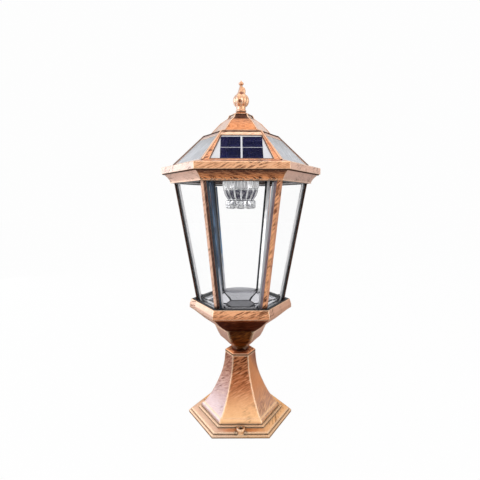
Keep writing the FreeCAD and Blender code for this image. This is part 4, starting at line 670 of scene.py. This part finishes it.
# Plain finishes: two tones, roughness, share of metal, tone of rubbed edges, grain and specular level
PLAIN_FINISHES = {
    "mauve_seal": ((0.20, 0.12, 0.13), (0.34, 0.26, 0.30), 0.4, 0.0, (0.5, 0.44, 0.46), 260.0),
    "navy_seal": ((0.016, 0.026, 0.045), (0.05, 0.075, 0.11), 0.3, 0.0, (0.16, 0.2, 0.26), 300.0),
    "black_seal": ((0.006, 0.007, 0.010), (0.012, 0.014, 0.020), 0.5, 0.0, (0.04, 0.04, 0.05), 420.0, 0.25),
    # Dark seams, and the painted shadow lines under the eave and the collar
    "dark_seam_and_shadow": ((0.055, 0.016, 0.005), (0.03, 0.010, 0.004), 0.6, 0.0, (0.10, 0.035, 0.015), 420.0, 0.15),
    "brown_gasket": ((0.24, 0.085, 0.035), (0.12, 0.04, 0.018), 0.5, 0.0, (0.30, 0.14, 0.07), 420.0),
    "pale_gasket": ((0.86, 0.80, 0.77), (0.74, 0.68, 0.66), 0.45, 0.0, (0.92, 0.9, 0.88), 420.0),
    "bead_metal": ((0.60, 0.60, 0.62), (0.40, 0.41, 0.44), 0.35, 0.6, (0.85, 0.85, 0.85)),
    "apron_metal": ((0.74, 0.74, 0.77), (0.66, 0.66, 0.69), 0.45, 0.2, (0.7, 0.7, 0.72), 120.0),
    "zinc_steel": ((0.55, 0.55, 0.53), (0.42, 0.43, 0.44), 0.38, 0.9, (0.75, 0.75, 0.74)),
    "bare_aluminium": ((0.62, 0.62, 0.63), (0.5, 0.51, 0.53), 0.42, 0.9, (0.8, 0.8, 0.8)),
    "dark_plate": ((0.10, 0.10, 0.12), (0.15, 0.15, 0.17), 0.4, 0.2, (0.3, 0.3, 0.32)),
    "silver_collar": ((1.0, 1.0, 1.0), (0.92, 0.93, 0.95), 0.30, 0.85, (0.97, 0.97, 0.97)),
    "white_backsheet": ((0.80, 0.80, 0.84), (0.86, 0.86, 0.88), 0.5, 0.0, (0.9, 0.9, 0.9)),
    "white_plate": ((0.72, 0.72, 0.72), (0.64, 0.64, 0.65), 0.45, 0.0, (0.85, 0.85, 0.85)),
    "white_board": ((0.8, 0.8, 0.8), (0.72, 0.72, 0.73), 0.4, 0.0, (0.9, 0.9, 0.9)),
    "green_board": ((0.02, 0.16, 0.05), (0.03, 0.21, 0.07), 0.35, 0.0, (0.3, 0.4, 0.2), 380.0),
    "led_yellow": ((0.85, 0.70, 0.12), (0.75, 0.58, 0.08), 0.3, 0.0, None, 600.0),
    "black_plastic": ((0.02, 0.02, 0.022), (0.035, 0.035, 0.038), 0.45, 0.0, (0.1, 0.1, 0.1), 500.0),
    "button_plastic": ((0.02, 0.02, 0.022), (0.04, 0.04, 0.042), 0.3, 0.0, (0.12, 0.12, 0.12), 500.0),
    "cell_wrap": ((0.05, 0.13, 0.42), (0.08, 0.18, 0.5), 0.32, 0.0, (0.4, 0.5, 0.7), 220.0),
}
LOOKS.update({name: plain(name, *finish) for name, finish in PLAIN_FINISHES.items()})

# Families of nodes that share a finish; a later row takes precedence
FAMILIES = {
    **{"corner_bar_" + corner: "corner_bar" for corner in CORNERS},
    **{"bar_seal_" + corner: "navy_seal" for corner in CORNERS},
    # Left and right bars take the bar copper painted dark as shade; the front left bar a copy painted lit on
    # one half and shaded on the other
    "corner_bar_left": "shaded_side_bar",
    "corner_bar_right": "shaded_side_bar",
    "corner_bar_front_left": "shaded_bar",
    "bar_seal_left": "left_seal",
    "bar_seal_right": "right_seal",
    "bar_seal_rear_left": "rear_left_seal",
    "bar_seal_rear_right": "rear_right_seal",
    "bar_seal_front_right": "mauve_seal",
}


def dress_nodes():
    """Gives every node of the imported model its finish, by its own name first and by its slot otherwise."""
    slots = {row["node"]: row["material_slot"] for row in frame["record"]["subparts"]}
    for name, node in frame["nodes"].items():
        look = LOOKS.get(FAMILIES.get(name, name)) or LOOKS[slots[name]]
        node.data.materials.clear()
        node.data.materials.append(look)


def new_mesh(name, bm, look, body, smooth=False):
    """Turns a bmesh into a piece that rides on a body."""
    mesh = bpy.data.meshes.new(name)
    bmesh.ops.recalc_face_normals(bm, faces=bm.faces)
    bm.to_mesh(mesh)
    bm.free()
    for face in mesh.polygons:
        face.use_smooth = smooth
    mesh.materials.append(look)
    piece = bpy.data.objects.new(name, mesh)
    bpy.context.scene.collection.objects.link(piece)
    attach(piece, body)
    return piece


def on_hip(radius, turn, level):
    """A point at a radius from the axis and a level, by its turn in degrees."""
    angle = math.radians(turn)
    return Vector((radius * math.cos(angle), radius * math.sin(angle), level))


def skin(bm, rings, closed=False):
    """Joins rings of points into a tube and closes its ends."""
    made = [[bm.verts.new(point) for point in ring] for ring in rings]
    pairs = list(zip(made, made[1:])) + ([(made[-1], made[0])] if closed else [])
    for low, high in pairs:
        for index in range(len(low)):
            after = (index + 1) % len(low)
            bm.faces.new((low[index], low[after], high[after], high[index]))
    if not closed:
        bm.faces.new(made[0][::-1])
        bm.faces.new(made[-1])


def soften(piece, width=0.0002, segments=2):
    """Rounds the edges of a piece."""
    edge = piece.modifiers.new("edges", "BEVEL")
    edge.width = width
    edge.segments = segments
    edge.limit_method = "ANGLE"


def cage_point(turn, side, along, inward, level):
    """A point by a corner of the cage: so far along the face to one side, and inwards from its outside."""
    share = (level - CAGE_LOW[1]) / (CAGE_HIGH[1] - CAGE_LOW[1])
    radius = CAGE_LOW[0] + (CAGE_HIGH[0] - CAGE_LOW[0]) * share
    angle = math.radians(turn)
    out = Vector((math.cos(angle), math.sin(angle), 0))
    across = Vector((-math.sin(angle), math.cos(angle), 0)) * side
    point = out * (radius - along / 2 - inward * FACE_SHARE) + across * (along * FACE_SHARE - inward / 2)
    return point + Vector((0, 0, level))


def make_glazing_beads():
    """Painted or bright strips inside each pane, close beside the black seals."""
    for corner, turn in CORNERS.items():
        if corner in ("left", "right"):
            continue
        bm = bmesh.new()
        for side in (-1, 1):
            if (corner, side) in BARE_SIDES:
                continue
            skin(bm, [[cage_point(turn, side, along, inward, level) for along, inward in BEAD_SECTION]
                      for level in BEAD_LEVELS])
        look = LOOKS["navy_bead" if corner in ("rear_left", "front_left") else "bead_metal"]
        soften(new_mesh("glazing_bead_" + corner, bm, look, "base"))


def make_bar_boots():
    """Black rubber blocks at the foot of each seal, shaped to the corner of the sill."""
    for corner, turn in CORNERS.items():
        if corner in ("rear_left", "rear_right"):
            continue
        bm = bmesh.new()
        for side in (-1, 1):
            skin(bm, [[cage_point(turn, side, along, inward, level) for along, inward in outline]
                      for level, outline in BOOT_RINGS.items()])
        soften(new_mesh("bar_boot_" + corner, bm, LOOKS["black_seal"], "base"), 0.0006, 3)


def rods(name, paths, radius, look, body):
    """Round rods along paths, as one piece that rides on a body."""
    curve = bpy.data.curves.new(name, "CURVE")
    curve.dimensions = "3D"
    curve.bevel_depth = radius
    curve.bevel_resolution = 3
    curve.use_fill_caps = True
    for path in paths:
        spline = curve.splines.new("POLY")
        spline.points.add(len(path) - 1)
        for point, place in zip(spline.points, path):
            point.co = (*place, 1)
    curve.materials.append(look)
    piece = bpy.data.objects.new(name, curve)
    bpy.context.scene.collection.objects.link(piece)
    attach(piece, body)


def make_hips():
    """Slim cast beads along the hips of the roof and of the crown, sunk a little into them."""
    for corner, turn in CORNERS.items():
        # The beads on the left and right hips take the copy painted dark as shade
        look = LOOKS["shaded_hip" if corner in ("left", "right") else "hip"]
        line = [on_hip(radius - HIP_SINK, turn, level) for radius, level in ROOF_HIP]
        rods("roof_hip_bead_" + corner, [line], ROOF_BEAD, look, "head")
    lines = [[on_hip(radius - HIP_SINK / 2, turn, level) for radius, level in CROWN_HIP]
             for turn in CORNERS.values()]
    rods("crown_hip_beads", lines, CROWN_BEAD, LOOKS["hip"], "head")


def hexagon(radius, level):
    """A closed path round the lamp's six corners."""
    return [on_hip(radius, turn, level) for turn in range(0, 420, 60)]


def make_dark_rings():
    """Dark rods: painted shadow lines under the eave and round the foot of the collar, and a dark seam at the
    foot of the crown.
    """
    for name, (radius, level, rod_radius, body) in DARK_RINGS.items():
        rods(name, [hexagon(radius, level)], rod_radius, LOOKS["dark_seam_and_shadow"], body)


def roof_point(turn, across, level, lift):
    """A point over a face of the roof: so far across it at a level, lifted off it."""
    (foot_radius, foot), (head_radius, head) = ROOF_HIP[:2]
    radius = foot_radius + (head_radius - foot_radius) * (level - foot) / (head - foot)
    angle = math.radians(turn)
    out = Vector((math.cos(angle), math.sin(angle), 0))
    side = Vector((-math.sin(angle), math.cos(angle), 0))
    slope = Vector((head - foot, (foot_radius - head_radius) * FACE_SHARE)).normalized()
    normal = out * slope.x + Vector((0, 0, slope.y))
    return out * radius * FACE_SHARE + side * across + Vector((0, 0, level)) + normal * lift


def make_gaskets():
    """A thin gasket round each roof panel, a little proud of it: brown by the cells and pale elsewhere."""
    (foot, foot_half), (head, head_half) = WINDOW
    play, reach, sunk, outer_lift, inner_lift = 0.0003, 0.0017, -0.0020, -0.0003, 0.0001
    low, high = (foot, foot_half, foot + 0.0011), (head, head_half, head - 0.0007)
    for face, turn in FACES.items():
        bm = bmesh.new()
        rings = []
        for side, (level, half, inner_level) in ((-1, low), (1, low), (1, high), (-1, high)):
            outer = side * (half - play)
            inner = side * (half - reach)
            rings.append([
                roof_point(turn, outer, level, sunk), roof_point(turn, outer, level, outer_lift),
                roof_point(turn, inner, inner_level, inner_lift), roof_point(turn, inner, inner_level, sunk)])
        skin(bm, rings, closed=True)
        look = LOOKS["brown_gasket" if face in SOLAR_FACES else "pale_gasket"]
        soften(new_mesh("panel_gasket_" + face, bm, look, "head"))


def make_collar_ribs():
    """Fine upright ribs round the bright collar over the lens."""
    bm = bmesh.new()
    count, radius, reach, half, foot, head = 36, 0.0292, 0.0008, 0.0011, 0.3912, 0.4110
    shoulder = radius + reach * 0.7
    for index in range(count):
        angle = math.tau * index / count
        out = Vector((math.cos(angle), math.sin(angle), 0))
        side = Vector((-math.sin(angle), math.cos(angle), 0)) * half
        section = [out * radius - side, out * shoulder - side * 0.6, out * (radius + reach),
                   out * shoulder + side * 0.6, out * radius + side]
        skin(bm, [[point + Vector((0, 0, level)) for point in section] for level in (foot, head)])
    new_mesh("lens_collar_ribs", bm, LOOKS["silver_collar"], "head", smooth=True)


def make_tray_plate():
    """The six-sided dark plate in the middle of the reflector, with a shallow crown."""
    bm = bmesh.new()
    skin(bm, [[Vector((x * share, y * share, level)) for x, y in PLATE] for share, level in PLATE_RINGS])
    plate = new_mesh("crowned_tray_plate", bm, LOOKS["dark_plate"], "base")
    soften(plate, 0.0003)
    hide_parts("tray_plate")


def make_tray_seams():
    """Pressed seams of the reflector: a curved one up to each corner and a line round the plate."""
    paths = []
    for turn in CORNERS.values():
        start = min(PLATE, key=lambda spot: (Vector((*spot, 0)) - on_hip(PLATE_RADIUS, turn, 0)).length)
        paths.append([Vector((*start, TRAY_SEAM_FOOT)),
                      *(on_hip(radius, turn, level) for radius, level in TRAY_SEAM)])
    rods("tray_seams", paths, TRAY_SEAM_RADIUS, LOOKS["black_seal"], "base")
    outline = [Vector((*spot, TRAY_SEAM_FOOT + 0.0001)) for spot in PLATE + PLATE[:1]]
    rods("tray_plate_seam", [outline], PLATE_SEAM_RADIUS, LOOKS["black_seal"], "base")


def make_apron():
    """A thin grey apron behind the reflector with an arched top, before the rear pane."""
    bm = bmesh.new()
    count, half, thick, back, bow = 14, 0.0285, 0.0007, 0.0622, 0.0010
    foot, head, arch = 0.2008, 0.2096, 0.0030
    rings = []
    for index in range(count + 1):
        across = -half + 2 * half * index / count
        share = (across / half) ** 2
        top = head - arch * share
        rear = back - bow * (1 - share)
        rings.append([Vector((across, rear, foot)), Vector((across, rear, top)),
                      Vector((across, rear - thick, top)), Vector((across, rear - thick, foot))])
    skin(bm, rings)
    soften(new_mesh("reflector_apron", bm, LOOKS["apron_metal"], "base", smooth=True))


def make_sill_trim():
    """A dark weather strip on the bowl's rim, outside the panes."""
    bm = bmesh.new()
    skin(bm, [[on_hip(radius, turn, level) for radius, level in SILL_TRIM] for turn in CORNERS.values()],
         closed=True)
    soften(new_mesh("sill_trim", bm, LOOKS["black_seal"], "base"))


def lens_ring(bm, radius, level, flute, scallop):
    """The points of the lens at one place of its section, or a single one on its axis."""
    if not radius:
        return [bm.verts.new((0, 0, level / 1000))]
    ring = []
    for index in range(LENS_POINTS):
        turn = index / LENS_POINTS
        groove = (2 * (turn * FLUTES % 1) - 1) ** 2
        crease = (2 * ((turn * SCALLOPS + 0.5) % 1) - 1) ** 2
        reach = (radius - flute * (1 - groove) - scallop * crease) / 1000
        drop = (1 - crease) * SCALLOP_DROP if scallop and level < SCALLOP_TOP_MM else 0
        angle = math.tau * turn
        ring.append(bm.verts.new((reach * math.cos(angle), reach * math.sin(angle), level / 1000 - drop)))
    return ring


def make_lens():
    """The fluted bell lens with its scalloped skirt, hollow above for the light source."""
    bm = bmesh.new()
    rings = [lens_ring(bm, *row) for row in LENS_PROFILE_MM]
    for low, high in zip(rings, rings[1:]):
        for index in range(LENS_POINTS):
            after = (index + 1) % LENS_POINTS
            corners = [low[index % len(low)], low[after % len(low)],
                       high[after % len(high)], high[index % len(high)]]
            bm.faces.new(list(dict.fromkeys(corners)))
    lens = new_mesh("fluted_lens", bm, LOOKS["crystal"], "head", smooth=True)
    lens.data.set_sharp_from_angle(angle=LENS_CREASE)
    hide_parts("crystal_lens")


def ray_is(tree, *kinds):
    """An output that is 1 for light rays of these kinds, and 0 for others."""
    path = tree.nodes.new("ShaderNodeLightPath")
    found = path.outputs["Is %s Ray" % kinds[0]]
    for kind in kinds[1:]:
        either = tree.nodes.new("ShaderNodeMath")
        either.operation = "MAXIMUM"
        tree.links.new(found, either.inputs[0])
        tree.links.new(path.outputs["Is %s Ray" % kind], either.inputs[1])
        found = either.outputs[0]
    return found


def make_floor():
    """A white floor that keeps the lamp's shadow."""
    bm = bmesh.new()
    bmesh.ops.create_circle(bm, cap_ends=True, segments=96, radius=FLOOR_RADIUS)
    mesh = bpy.data.meshes.new("floor")
    bm.to_mesh(mesh)
    bm.free()
    floor = bpy.data.objects.new("floor", mesh)
    floor.location.z = FLOOR_LEVEL
    bpy.context.scene.collection.objects.link(floor)
    look = bpy.data.materials.new("floor_white")
    look.use_nodes = True
    tree = look.node_tree
    tree.nodes.clear()
    matte = tree.nodes.new("ShaderNodeBsdfDiffuse")
    matte.inputs["Color"].default_value = FLOOR_TONE
    glow = tree.nodes.new("ShaderNodeEmission")
    seen = tree.nodes.new("ShaderNodeMath")
    seen.operation = "MULTIPLY"
    seen.inputs[1].default_value = FLOOR_GLOW
    tree.links.new(ray_is(tree, "Camera", "Transmission"), seen.inputs[0])
    mixed = tree.nodes.new("ShaderNodeMixShader")
    for socket, node in zip(mixed.inputs, (seen, matte, glow)):
        tree.links.new(node.outputs[0], socket)
    tree.links.new(mixed.outputs[0], tree.nodes.new("ShaderNodeOutputMaterial").inputs["Surface"])
    floor.data.materials.append(look)


def make_world():
    """A plain white world: soft as light on the lamp, and white where it is seen or mirrored."""
    world = bpy.data.worlds.new("studio")
    bpy.context.scene.world = world
    world.use_nodes = True
    tree = world.node_tree
    tree.nodes.clear()
    level = tree.nodes.new("ShaderNodeMapRange")
    tree.links.new(ray_is(tree, "Camera", "Transmission", "Glossy"), level.inputs["Value"])
    level.inputs["To Min"].default_value = WORLD_LIGHT
    level.inputs["To Max"].default_value = WORLD_SEEN
    back = tree.nodes.new("ShaderNodeBackground")
    back.inputs["Color"].default_value = (1, 1, 1, 1)
    tree.links.new(level.outputs[0], back.inputs["Strength"])
    tree.links.new(back.outputs[0], tree.nodes.new("ShaderNodeOutputWorld").inputs["Surface"])


def make_lamps():
    """Soft rectangular lamps, all turned to one point on the lantern's axis."""
    for name, (place, size, power) in LAMPS.items():
        light = bpy.data.lights.new(name, "AREA")
        light.shape = "RECTANGLE"
        light.size, light.size_y = size
        light.energy = power
        holder = bpy.data.objects.new(name, light)
        holder.location = place
        holder.rotation_euler = (Vector(LAMP_AIM) - Vector(place)).to_track_quat("-Z", "Y").to_euler()
        bpy.context.scene.collection.objects.link(holder)


def make_camera():
    """The photograph's view: it was turned round the lamp's axis, then tilted and rolled."""
    data = bpy.data.cameras.new("view")
    data.lens = FOCAL_MM
    data.sensor_width = SENSOR_MM
    camera = bpy.data.objects.new("view", data)
    turn = Matrix.Rotation(TURN, 4, "Z")
    aim = turn @ Matrix.Rotation(math.pi / 2 + TILT, 4, "X") @ Matrix.Rotation(ROLL, 4, "Z")
    camera.matrix_world = Matrix.Translation(turn @ Vector(EYE)) @ aim
    bpy.context.scene.collection.objects.link(camera)
    bpy.context.scene.camera = camera


dress_nodes()
make_glazing_beads()
make_bar_boots()
make_hips()
make_gaskets()
make_collar_ribs()
make_dark_rings()
make_tray_plate()
make_tray_seams()
make_apron()
make_sill_trim()
make_lens()
make_floor()
make_world()
make_camera()
make_lamps()
bpy.context.scene.view_settings.view_transform = "Standard"
